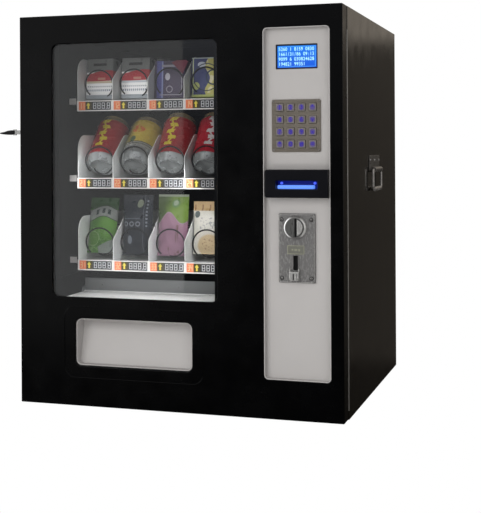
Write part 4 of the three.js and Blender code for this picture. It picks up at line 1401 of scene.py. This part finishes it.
def card_print(name, stripe_tone):
    """White card with a grey top, darkened further as painted shade, a red band and plain ruled lines."""
    look = Pattern(name, (1.0, 1.0, 1.0), 0.35)
    h = 80 * MM
    # The grey top is print, darkened further as painted shade on the card's upper part.
    look.print(look.above(look.z, h * 0.66), (0.15, 0.155, 0.15))
    look.print(look.patch(mm(-14, 14), (h * 0.82, h * 0.885)), (0.03, 0.03, 0.03))
    edge = look.wave(look.x, h * 0.66, 4 * MM, 60, 0.6)
    band = look.both(
        look.below(look.math("SUBTRACT", look.z, edge), 0.0), look.above(look.slanted(0.03), h * 0.44),
    )
    look.print(band, (0.42, 0.02, 0.03))
    look.print(
        look.both(look.between(look.z, h * 0.47, h * 0.53), look.between(look.x, -4 * MM, 12 * MM)),
        (0.5, 0.2, 0.15),
    )
    look.print(look.between(look.z, h * 0.39, h * 0.44), stripe_tone)
    dots = look.above(look.wave(look.x, 0.0, 1.0, 1500), 0.0, 0.3)
    look.print(look.both(dots, look.between(look.z, h * 0.29, h * 0.325)), (0.34, 0.37, 0.42))
    look.print(look.both(dots, look.between(look.z, h * 0.19, h * 0.24)), (0.2, 0.24, 0.32))
    look.print(look.between(look.z, 0.0, h * 0.1), (0.4, 0.44, 0.48))
    return look.done()


def purple_print():
    look = Pattern("print_purple", (0.07, 0.05, 0.1), 0.3, level=0.8)
    h = 72 * MM
    look.print(look.between(look.x, -26 * MM, -13 * MM, 0.002), (0.1, 0.1, 0.34))
    look.print(look.between(look.x, -16 * MM, -13.5 * MM, 0.001), (0.3, 0.33, 0.6))
    look.print(look.disc((-4 * MM, h * 0.58), 5 * MM, 0.7), (0.55, 0.53, 0.6))
    look.print(
        look.both(look.between(look.z, h * 0.84, h * 0.9), look.between(look.x, -16 * MM, 12 * MM)),
        (0.32, 0.3, 0.36),
    )
    look.print(look.ring((0.0, h * 0.24), 6 * MM, 1.6 * MM), (0.36, 0.33, 0.4))
    look.print(look.patch(mm(-20, 25), (h * 0.08, h * 0.1)), (0.4, 0.38, 0.44))
    look.print(look.patch(mm(24, 25.5), (h * 0.08, h * 0.66)), (0.4, 0.38, 0.44))
    return look.done()


def navy_print():
    look = Pattern("print_navy", (0.05, 0.06, 0.16), 0.3, level=1.1)
    h = 76 * MM
    right = look.above(look.math("ADD", look.x, look.wave(look.z, 0.0, 5 * MM, 130)), 2 * MM)
    look.print(right, (0.5, 0.47, 0.13))
    look.print(look.both(right, look.above(look.noise(70, 2), 0.55, 0.05)), (0.66, 0.62, 0.4))
    look.print(look.disc((-10 * MM, h * 0.82), 8 * MM, 1.5), (0.5, 0.54, 0.6))
    look.print(look.disc((-20 * MM, h * 0.28), 6.5 * MM, 0.9), (0.42, 0.46, 0.16))
    look.print(look.ring((14 * MM, h * 0.5), 14 * MM, 3 * MM), (0.03, 0.05, 0.08))
    look.print(look.ring((0.0, h * 0.5), 26 * MM, 1.8 * MM), (0.03, 0.04, 0.06))
    look.print(look.below(look.z, h * 0.06), (0.45, 0.5, 0.15))
    look.print(look.between(look.x, -28 * MM, -26 * MM), (0.5, 0.55, 0.3))
    look.print(look.above(look.z, h * 0.97), (0.45, 0.5, 0.5))
    return look.done()


def green_print():
    look = Pattern("print_green", (0.09, 0.27, 0.03), 0.3, level=0.5)
    h = 110 * MM
    look.print(look.above(look.z, h * 0.8), (0.035, 0.11, 0.025))
    look.print(look.disc((14 * MM, h * 0.45), 22 * MM, 1.0, 0.012), (0.16, 0.42, 0.04))
    fibre = look.above(look.noise(140, 3), 0.55, 0.04)
    look.print(look.both(fibre, look.below(look.z, h * 0.45)), (0.2, 0.42, 0.1))
    line = look.math("SUBTRACT", look.z, look.wave(look.x, h * 0.72, 5 * MM, 95, 1.2))
    look.print(look.between(line, -13 * MM, 11 * MM), (0.02, 0.05, 0.02))
    look.print(look.between(line, -11.5 * MM, 9.5 * MM), (0.36, 0.38, 0.36))
    bars = look.above(look.wave(look.x, 0.0, 1.0, 520), 0.1, 0.3)
    look.print(
        look.both(bars, look.between(line, -6 * MM, 4 * MM), look.between(look.x, -14 * MM, 20 * MM)),
        (0.04, 0.07, 0.06),
    )
    look.print(look.disc((-16 * MM, h * 0.25), 15 * MM, 1.0, 0.001), (0.14, 0.33, 0.05))
    look.print(look.ring((-16 * MM, h * 0.25), 14 * MM, 1.5 * MM), (0.3, 0.5, 0.2))
    look.print(
        look.both(look.above(look.x, -6 * MM), look.below(look.slanted(0.5), h * 0.13)), (0.35, 0.4, 0.36),
    )
    return look.done()


def black_print():
    look = Pattern("print_black", (0.025, 0.03, 0.042), 0.3, level=0.55)
    h = 118 * MM
    look.print(look.between(look.x, 14.5 * MM, 15.4 * MM), (0.18, 0.2, 0.24))
    ticks = look.above(look.wave(look.z, 0.0, 1.0, 900), 0.0, 0.3)
    look.print(look.both(ticks, look.patch(mm(19, 22.5), (h * 0.45, h * 0.93))), (0.3, 0.33, 0.38))
    look.print(look.disc((6 * MM, h * 0.86), 6.5 * MM, 0.8), (0.3, 0.34, 0.25))
    for centre in (-22, -9, 4):
        look.print(look.ring((centre * MM, h * 0.52), 4 * MM, 2.2 * MM), (0.28, 0.3, 0.34))
    look.print(look.both(ticks, look.patch(mm(-27, 8), (h * 0.6, h * 0.63))), (0.12, 0.14, 0.17))
    look.print(look.disc((-12 * MM, h * 0.26), 5 * MM, 0.6), (0.25, 0.28, 0.33))
    return look.done()


def pink_print():
    look = Pattern("print_pink", (0.44, 0.24, 0.34), 0.3, level=0.55)
    h = 119 * MM
    streaks = look.above(look.noise(90, 3, (1, 1, 0.05)), 0.56, 0.06)
    look.print(
        look.both(streaks, look.between(look.x, -8 * MM, 14 * MM), look.below(look.z, h * 0.5)),
        (0.2, 0.1, 0.09),
    )
    edge = look.wave(look.x, h * 0.62, 11 * MM, 120, 2.2)
    green = look.above(look.math("SUBTRACT", look.z, edge), 0.0, 0.001)
    look.print(green, (0.24, 0.38, 0.07))
    look.print(look.both(green, look.below(look.x, -8 * MM, 0.02)), (0.1, 0.15, 0.05))
    look.print(look.disc((6 * MM, h * 0.85), 8.5 * MM), (0.2, 0.36, 0.14))
    look.print(look.disc((6 * MM, h * 0.86), 5.2 * MM), (0.5, 0.6, 0.45))
    look.print(look.between(look.math("SUBTRACT", look.z, edge), -2 * MM, 0.0), (0.5, 0.33, 0.45))
    look.print(look.above(look.z, h * 0.965), (0.45, 0.5, 0.4))
    return look.done()


def cream_print():
    look = Pattern("print_cream", (0.62, 0.6, 0.54), 0.35, level=0.9)
    h = 100 * MM
    look.print(look.above(look.z, h * 0.83), (0.45, 0.31, 0.16))
    look.print(
        look.both(
            look.between(look.z, h * 0.83, h * 0.95),
            look.above(look.wave(look.x, 0.0, 1.0, 420), 0.8, 0.1),
        ),
        (0.25, 0.15, 0.08),
    )
    look.print(look.disc((-20 * MM, h * 0.76), 6 * MM, 0.9), (0.1, 0.12, 0.12))
    marks = look.above(look.noise(210, 2), 0.57, 0.04)
    look.print(look.both(marks, look.patch(mm(-14, 24), (h * 0.48, h * 0.7))), (0.33, 0.33, 0.33))
    look.print(look.disc((6 * MM, h * 0.14), 24 * MM, 1.0, 0.004), (0.52, 0.4, 0.24))
    look.print(look.both(marks, look.disc((2 * MM, h * 0.2), 12 * MM)), (0.3, 0.2, 0.12))
    return look.done()


def red_can(name, red, ink, pale):
    look = CanPrint(name, red)
    mid = CAN_LENGTH * 0.58
    stretch = look.between(look.z, mid - 34 * MM, mid + 36 * MM)
    step = look.above(look.wave(look.z, 0.0, 1.0, 420), -0.15, 0.2)
    sway = look.math("ADD", look.x, look.wave(look.z, -6 * MM if pale else 2 * MM, 3.2 * MM, 230))
    look.print(look.both(stretch, step, look.between(sway, -8 * MM, 8 * MM)), ink)
    look.print(look.both(stretch, look.between(sway, -2 * MM, 2 * MM)), ink)
    if pale:
        look.print(look.both(look.above(sway, 17 * MM), look.below(sway, 20 * MM), stretch), ink)
    return look


def gold_can():
    look = CanPrint("print_gold_can", (0.5, 0.38, 0.05))
    top = CAN_LENGTH
    look.print(look.below(look.x, -14 * MM, 0.012), (0.16, 0.15, 0.05))
    look.print(
        look.both(
            look.disc((-2 * MM, top * 0.66), 15 * MM, 1.5, 0.003),
            look.above(look.noise(95, 3), 0.47, 0.06),
        ),
        (0.5, 0.12, 0.02),
    )
    look.print(look.disc((-8 * MM, top * 0.42), 6 * MM, 0.8), (0.06, 0.1, 0.05))
    look.print(look.below(look.z, top * 0.36), (0.3, 0.3, 0.27))
    for share in (0.345, 0.3):
        look.print(look.between(look.z, top * share, top * (share + 0.016)), (0.03, 0.035, 0.03))
    return look


def goods():
    cartons = (
        (56, 40, 80, card_print("print_card_1", (0.6, 0.52, 0.36)), 139, 7, 5, -4.5),
        (58, 40, 80, card_print("print_card_2", (0.62, 0.66, 0.7)), 139, 7, 5, -2.5),
        (62, 36, 73, purple_print(), 138, 6, 4, -4.5),
        (60, 36, 76, navy_print(), 138, 7, 4, -3),
    )
    for lane, (width, depth, height, look, distance, rise, lean, shift) in enumerate(cartons, 1):
        piece = carton(f"carton_1{lane}", width * MM, depth * MM, height * MM, look)
        stand_goods(piece, 1, lane, distance, rise * MM, lean, shift * MM)
    corner = from_place([(4, 69), (27, 46), (38, 70), (33, 73), (14, 73)])
    flap = plate("carton_flap", [corner], mm(-1.5, -0.3), 0.3)
    smooth(paint(flap, plastic("print_dark_red", (0.16, 0.012, 0.035), 0.3)))
    stand_goods(flap, 1, 3, 138, 6 * MM, 4, -4.5 * MM)
    red = (0.3, 0.012, 0.016)
    yellow = (0.62, 0.5, 0.02)
    cans = (
        (red_can("print_red_can", red, yellow, False).finish(), (144, 440), (219, 529), -2),
        (gold_can().finish(low=30 * MM), (139, 441), (212, 517), -3),
        (red_can("print_red_can_2", red, yellow, False).finish(), (139, 441), (200, 523), -2),
        (
            red_can("print_red_white", (0.38, 0.01, 0.025), (0.6, 0.57, 0.57), True).finish(), (138, 441),
            (202, 528), -1,
        ),
    )
    for lane, (look, foot, head, shift) in enumerate(cans, 1):
        lay_can(can(f"can_2{lane}", look), 2, lane, foot, head, shift * MM)
    pouches = (
        (60, 111, green_print(), 15, 13, -5),
        (62, 119, black_print(), 10, 5, -2),
        (62, 119, pink_print(), 11, 5, -2),
        (60, 101, cream_print(), 16, 5, -4),
    )
    for lane, (width, height, look, rise, lean, shift) in enumerate(pouches, 1):
        piece = pouch(f"pouch_3{lane}", width * MM, 24 * MM, height * MM, look)
        stand_goods(piece, 3, lane, 134, rise * MM, lean, shift * MM)


# ------------------------------------------------------------------ carry handles


def handles():
    for side, sign in (("right", 1), ("left", -1)):
        wall = Box(f"handle_plate_{side}")
        inner = wall.lo.x if sign > 0 else wall.hi.x

        def out(distance_mm):
            return inner + sign * distance_mm * MM

        def span(a, b):
            return tuple(sorted((out(a), out(b))))

        rim = rounded_rect(depths(250, 360), mm(433, 461.5), 3, 5)
        face = plate(f"handle_face_{side}", [rim], span(0, 1.5), 0.4, "side")
        ends = depths(266.3, 343.7)
        centre = (out(6.2), 0, 434 * MM)
        barrel = from_place([(3.4, 0), (4.6, 0), (5.2, 0.6)], ends[0])
        barrel += from_place([(5.2, -0.6), (4.6, 0), (3.4, 0)], ends[1]) + barrel[:1]
        knuckle = lathe("handle_knuckle", barrel, "y", centre, 28)
        web = block("handle_web", span(0, 6.2), ends, mm(436.6, 439.2), 0.5)
        plate_piece = join(f"handle_seat_{side}", [face, knuckle, web])
        stand_in(plate_piece, f"handle_plate_{side}", "cabinet", HANDLE_STEEL)
        rivets = [(out(1.5), behind(d), 452 * MM) for d in (258, 305, 352)]
        screws(f"handle_screws_{side}", rivets, "+x" if sign > 0 else "-x", "cabinet", 2.6)
        bail(side, out(6.2))


def bail(side, x):
    """The folding loop with its thick grip."""
    top, foot = 434 * MM, 396.5 * MM
    near, far = behind(259), behind(351)
    radius = 7 * MM
    points = [Vector((x, near + 15 * MM, top))]
    corners = (
        ((near + radius, top - radius), 90, 180),
        ((near + radius, foot + radius), 180, 270),
        ((far - radius, foot + radius), 270, 360),
        ((far - radius, top - radius), 0, 90),
    )
    for (cy, cz), start, end in corners:
        for i in range(7):
            angle = math.radians(start + (end - start) * i / 6)
            points.append(Vector((x, cy + radius * math.cos(angle), cz + radius * math.sin(angle))))
    points.append(Vector((x, far - 15 * MM, top)))
    loop = tube(f"bail_loop_{side}", points, 2.5, 5)
    ends = (near + 9 * MM, far - 9 * MM)
    half = [(0, 0), (3.4, 0), (4.2, 1.2), (4.4, 4)]
    profile = from_place(half, ends[0]) + from_place(reversed(half), ends[1], -1)
    grip = lathe(f"bail_grip_{side}", profile, "y", (x, 0, foot), 28)
    paint(loop, HANDLE_METAL)
    paint(grip, HANDLE_METAL)
    whole = join(f"bail_{side}", [loop, grip])
    stand_in(whole, f"handle_bail_{side}", f"bail_{side}", angle=50)


# ------------------------------------------------------------------ lock and mains lead


def lock():
    centre_y, centre_z = behind(18.5), 509 * MM
    left = DOOR.lo.x
    washer = [(6.4, -1.6), (7, -2), (11, -2), (12, -1.2), (12, -0.3), (9.3, -0.3), (9.3, 12.9), (6.4, 12.9)]
    profile = from_place([*washer, washer[0]], left)
    collar = lathe("lock_collar", profile, "x", (0, centre_y, centre_z), 40)
    nut_outline = circle(centre_y, centre_z, 12.5, 6)
    nut = plate(
        "lock_nut", [nut_outline, circle(centre_y, centre_z, 9.3, 32)], (left + 2.3 * MM, left + 6 * MM),
        0.3, "side",
    )
    barrel = join("lock_barrel", [collar, nut])
    stand_in(barrel, "door_lock", "door", CHROME)
    plug_profile = from_place([(0, -1.8), (5.4, -1.8), (6, -1.2), (6, 17), (0, 17)], left)
    plug = paint(lathe("lock_plug_turned", plug_profile, "x", (0, centre_y, centre_z), 32), CHROME)
    hook = [(-6, -6), (6, -6), (6, 32), (15, 32), (15, 41), (-6, 41)]
    outline = [(centre_y + a * MM, centre_z + b * MM) for a, b in hook]
    cam = paint(plate("lock_cam", [outline], (left + 14 * MM, left + 16.5 * MM), 0.4, "side"), CHROME)
    steps = []
    for name, span, thick, tall, edge in (
        ("key_blade", (22, 1), 0.9, 3.8, 0.3), ("key_shoulder", (24, 17), 1.6, 5.5, 0.6),
    ):
        length = (left - span[0] * MM, left - span[1] * MM)
        step = block(name, length, around(centre_y, thick), around(centre_z, tall), edge)
        steps.append(paint(step, CHROME))
    drop = [
        (52, -2.2), (44, -3.6), (36, -4.4), (27, -4.6), (20, -3.4), (20, 3.6), (27, 4.2), (34, 3.4),
        (42, 1), (52, -0.6),
    ]
    head = [(left - a * MM, centre_z + b * MM) for a, b in drop]
    bow = paint(plate("key_bow", [head], around(centre_y, 3.4), 1, edge_steps=4), KEY_RUBBER)
    key = join("lock_and_key", [plug, cam, *steps, bow])
    stand_in(key, "lock_key", "lock_plug")


def mains_lead():
    x, z, wall = 200 * MM, 90 * MM, behind(580)
    bends = (
        (0, -4, 0), (0, 10, 0), (0, 18, -6), (-6, 21, -40), (-30, 17, -74), (-90, 15, -79), (-152, 15, -77),
    )
    route = [(x + across * MM, wall + out * MM, z + up * MM) for across, out, up in bends]
    lead = tube("mains_hose", route, 3.8, 5, round_path=True)
    steps = [(0, -8), (7.5, -8), (7.5, 0.4), (11.6, 0.4), (11.8, 5), (7, 8), (4.4, 8.6), (0, 8.6)]
    profile = from_place(steps, wall)
    gland = lathe("mains_gland", profile, "y", (x, 0, z), 24)
    plug = block(
        "mains_plug", (x - 186 * MM, x - 156 * MM), (wall + 3 * MM, wall + 26.5 * MM), mm(3, 26), 4, 4,
    )
    sleeve = from_place([(0, -157), (6.5, -157), (5, -149), (0, -149)], x)
    neck = lathe("mains_neck", sleeve, "x", (0, wall + 15 * MM, 13.5 * MM), 18)
    whole = join("mains_lead", [lead, gland, plug, neck])
    stand_in(whole, "power_cord", "cabinet", RUBBER)


def door_seal():
    sides = (DOOR.lo.x + 5 * MM, DOOR.hi.x - 22 * MM)
    rise = widen(DOOR.z, -5)
    outer = rounded_rect(sides, rise, 4, 5)
    inner = rounded_rect(widen(sides, -6), widen(rise, -6), 3, 5)
    seal = plate("door_seal", [outer, inner], depths(37.1, 42.4), 1.4)
    dress(seal, RUBBER, "door")


def back_screws():
    y = behind(580)
    x0, x1 = widen(SHELL.x, -9)
    z0, z1 = widen(SHELL.z, -9)
    centres = []
    for i in range(4):
        share = i / 3
        centres.append((x0 + (x1 - x0) * share, y, z0))
        centres.append((x0 + (x1 - x0) * share, y, z1))
    for share in (0.25, 0.5, 0.75):
        centres.append((x0, y, z0 + (z1 - z0) * share))
        centres.append((x1, y, z0 + (z1 - z0) * share))
    screws("back_screws", centres, "+y", "cabinet", 3.4)


def vent_filters():
    """A dark foam pad inside each group of vents in the back panel."""
    pads = []
    for side in (-0.15, 0.15):
        pads.append(block("vent_pad", (side - 0.066, side + 0.066), depths(574.8, 578.2), (0.553, 0.653)))
    dress(join("vent_filters", pads), FILTER_FOAM, "cabinet")


# ------------------------------------------------------------------ stage, camera and light


def camera():
    """The photograph's viewpoint, held by a lens shift that only applies at that place."""
    azimuth = math.radians(18.36)
    roll = math.radians(-0.3)
    place = Vector((0.695, -2.2367, 0.4756))
    back = Vector((math.sin(azimuth), -math.cos(azimuth), 0))
    right = Vector((math.cos(azimuth), math.sin(azimuth), 0))
    up = Vector((0, 0, 1))
    turned_right = right * math.cos(roll) + up * math.sin(roll)
    turned_up = up * math.cos(roll) - right * math.sin(roll)
    data = bpy.data.cameras.new("camera")
    data.sensor_width = 36
    data.lens = 80.66
    obj = link(bpy.data.objects.new("camera", data))
    matrix = Matrix((turned_right, turned_up, back)).transposed().to_4x4()
    matrix.translation = place
    obj.matrix_world = matrix
    for channel, value in (("shift_x", 0.0791), ("shift_y", -0.2096)):
        driver = data.driver_add(channel).driver
        variable = driver.variables.new()
        variable.name = "x"
        variable.type = "TRANSFORMS"
        variable.targets[0].id = obj
        variable.targets[0].transform_type = "LOC_X"
        variable.targets[0].transform_space = "WORLD_SPACE"
        driver.expression = f"{value} if abs(x - {place.x}) < 0.001 else 0"
    bpy.context.scene.camera = obj


def floor():
    mesh = bpy.data.meshes.new("floor")
    size = 8
    mesh.from_pydata(
        [(-size, -size, 0), (size, -size, 0), (size, size, 0), (-size, size, 0)], [], [(0, 1, 2, 3)],
    )
    obj = mesh_object("floor", mesh)
    obj.location.z = BASE - 0.0005
    paint(obj, plastic("floor_white", (0.86, 0.86, 0.86), 0.8, 40, 0.02))
    obj.visible_glossy = False
    obj.visible_camera = False


def area_light(name, place, target, size, power, colour=(1, 1, 1)):
    """A soft light that shows in no reflection."""
    data = bpy.data.lights.new(name, "AREA")
    data.shape = "RECTANGLE"
    data.size, data.size_y = size
    data.energy = power
    data.color = colour
    obj = link(bpy.data.objects.new(name, data))
    obj.location = place
    obj.rotation_euler = (Vector(target) - Vector(place)).to_track_quat("-Z", "Y").to_euler()
    obj.visible_glossy = False
    return obj


def reflector(name, corners, strength):
    """A bright card that only shows in reflections."""
    mesh = bpy.data.meshes.new(name)
    mesh.from_pydata(corners, [], [(0, 1, 2, 3)])
    obj = mesh_object(name, mesh)
    material = bpy.data.materials.new(name)
    material.use_nodes = True
    graph = Graph(material.node_tree)
    graph.nodes.clear()
    emission = graph.add("Emission", {"Color": (1, 1, 1), "Strength": strength})[0]
    graph.add("OutputMaterial", {"Surface": emission})
    mesh.materials.append(material)
    obj.visible_camera = False
    obj.visible_diffuse = False
    obj.visible_shadow = False
    obj.visible_transmission = False


def ramp(graph, factor, tint, stops):
    """Strengths of one tint along a factor, as (position, strength) stops."""
    colour, _ = graph.add("ValToRGB", {"Fac": factor})
    elements = colour.node.color_ramp.elements
    while len(elements) < len(stops):
        elements.new(0.5)
    for element, (position, strength) in zip(elements, stops):
        element.position = position
        element.color = (*shade(tint, strength), 1)
    return colour


def world():
    """White to the eye, soft to matt surfaces and mostly dark in reflections."""
    data = bpy.data.worlds.new("world")
    bpy.context.scene.world = data
    data.use_nodes = True
    graph = Graph(data.node_tree)
    graph.nodes.clear()
    path = graph.add("LightPath", {})
    _, depth, height = graph.add("SeparateXYZ", {0: graph.add("TexCoord", {})["Generated"]})
    rear = ramp(graph, graph.remap(height, 0, 1, -0.3, 0.3), (1, 0.88, 0.74), REAR_GLOW)
    front = ramp(graph, graph.remap(height, 0, 1, -0.3, 0.9), (0.88, 0.9, 1), FRONT_GLOW)
    mirrored = graph.mix(graph.remap(depth, 0, 1, -0.2, 0.4), front, rear)
    shine = graph.add("Background", {"Color": mirrored})[0]
    fill = graph.add("Background", {"Strength": FILL})[0]
    sight = graph.add("Background", {"Color": (1, 1, 1)})[0]
    unseen = graph.add("MixShader", {"Fac": path["Is Glossy Ray"], 1: fill, 2: shine})[0]
    whole = graph.add("MixShader", {"Fac": path["Is Camera Ray"], 1: unseen, 2: sight})[0]
    graph.add("OutputWorld", {"Surface": whole})


FILL = 0.6
REAR_GLOW = (
    (0.0, 0.015), (0.19, 0.018), (0.21, 0.045), (0.4, 0.045), (0.63, 0.065), (0.645, 0.085), (0.662, 0.36),
    (1.0, 0.4),
)
FRONT_GLOW = ((0.0, 0.0), (0.1, 0.02), (0.25, 0.1), (0.33, 0.36), (1.0, 1.3))


def strip_light(name, place, target, size, power):
    """A lamp strip inside the door, hidden from view."""
    obj = area_light(name, place, target, size, power, (0.97, 0.98, 1.0))
    obj.visible_camera = False


def studio():
    scene = bpy.context.scene
    scene.view_settings.view_transform = "Standard"
    scene.view_settings.look = "None"
    world()
    floor()
    area_light("key", (-1.0, -3.0, 1.5), (0, 0, 0.35), (2.2, 1.6), 40)
    area_light("fill", (1.8, -2.4, 1.2), (0.1, 0, 0.35), (1.4, 1.4), 11)
    area_light("top", (0.2, 0.3, 2.6), (0, 0, 0.5), (2.2, 2.2), 18)
    area_light("low", (0.12, -1.1, 0.05), (-0.12, -0.29, 0.12), (0.6, 0.3), 2.2)
    lamp_y = behind(54)
    strip_light("lamp_left", (-0.262, lamp_y, 0.34), (-0.2, behind(120), 0.3), (0.012, 0.34), 0.11)
    strip_light("lamp_right", (0.052, lamp_y, 0.36), (-0.16, behind(120), 0.16), (0.012, 0.24), 0.26)
    strip_light("lamp_low", (-0.08, lamp_y, 0.25), (-0.08, behind(100), 0.2), (0.24, 0.012), 0.08)
    # A wall to the left, mirrored in the left part of the window.
    wall_y = -3.4
    near = edge_x(wall_y)
    reflector(
        "left_wall", [(-4.2, wall_y, -0.4), (near, wall_y, -0.4), (near, wall_y, 2.2), (-4.2, wall_y, 2.2)],
        0.6,
    )
    # Two bright cards out to the sides, which only rounded edges and curved metal pick up.
    for name, x, y0, y1, strength in (
        ("card_left", -3.0, -3.2, -1.2, 3.0), ("card_right", 3.0, -3.0, 1.5, 1.0),
    ):
        reflector(name, [(x, y0, 0.1), (x, y1, 0.1), (x, y1, 2.0), (x, y0, 2.0)], strength)
    camera()


def edge_x(y):
    """Where a plane at y meets the camera's view mirrored in the window at the card's edge."""
    eye = Vector((0.695, -2.2367))
    glass = Vector((0.0158, behind(3.5)))
    mirrored = Vector((eye.x, 2 * glass.y - eye.y))
    share = (y - mirrored.y) / (glass.y - mirrored.y)
    return mirrored.x + (glass.x - mirrored.x) * share


# ------------------------------------------------------------------ build

door_skin()
opening_trim()
window_assembly()
delivery_flap()
control_column()
display()
keypad()
note_acceptor()
coin_faceplate()
coin_button()
coin_mechanism()
inner_parts()
delivery_chute()
drop_baffle()
for row in range(1, ROWS + 1):
    tray(row)
    price_strip(row)
    for lane in range(1, LANES + 1):
        coil(row, lane)
goods()
handles()
lock()
mains_lead()
door_seal()
back_screws()
vent_filters()
studio()
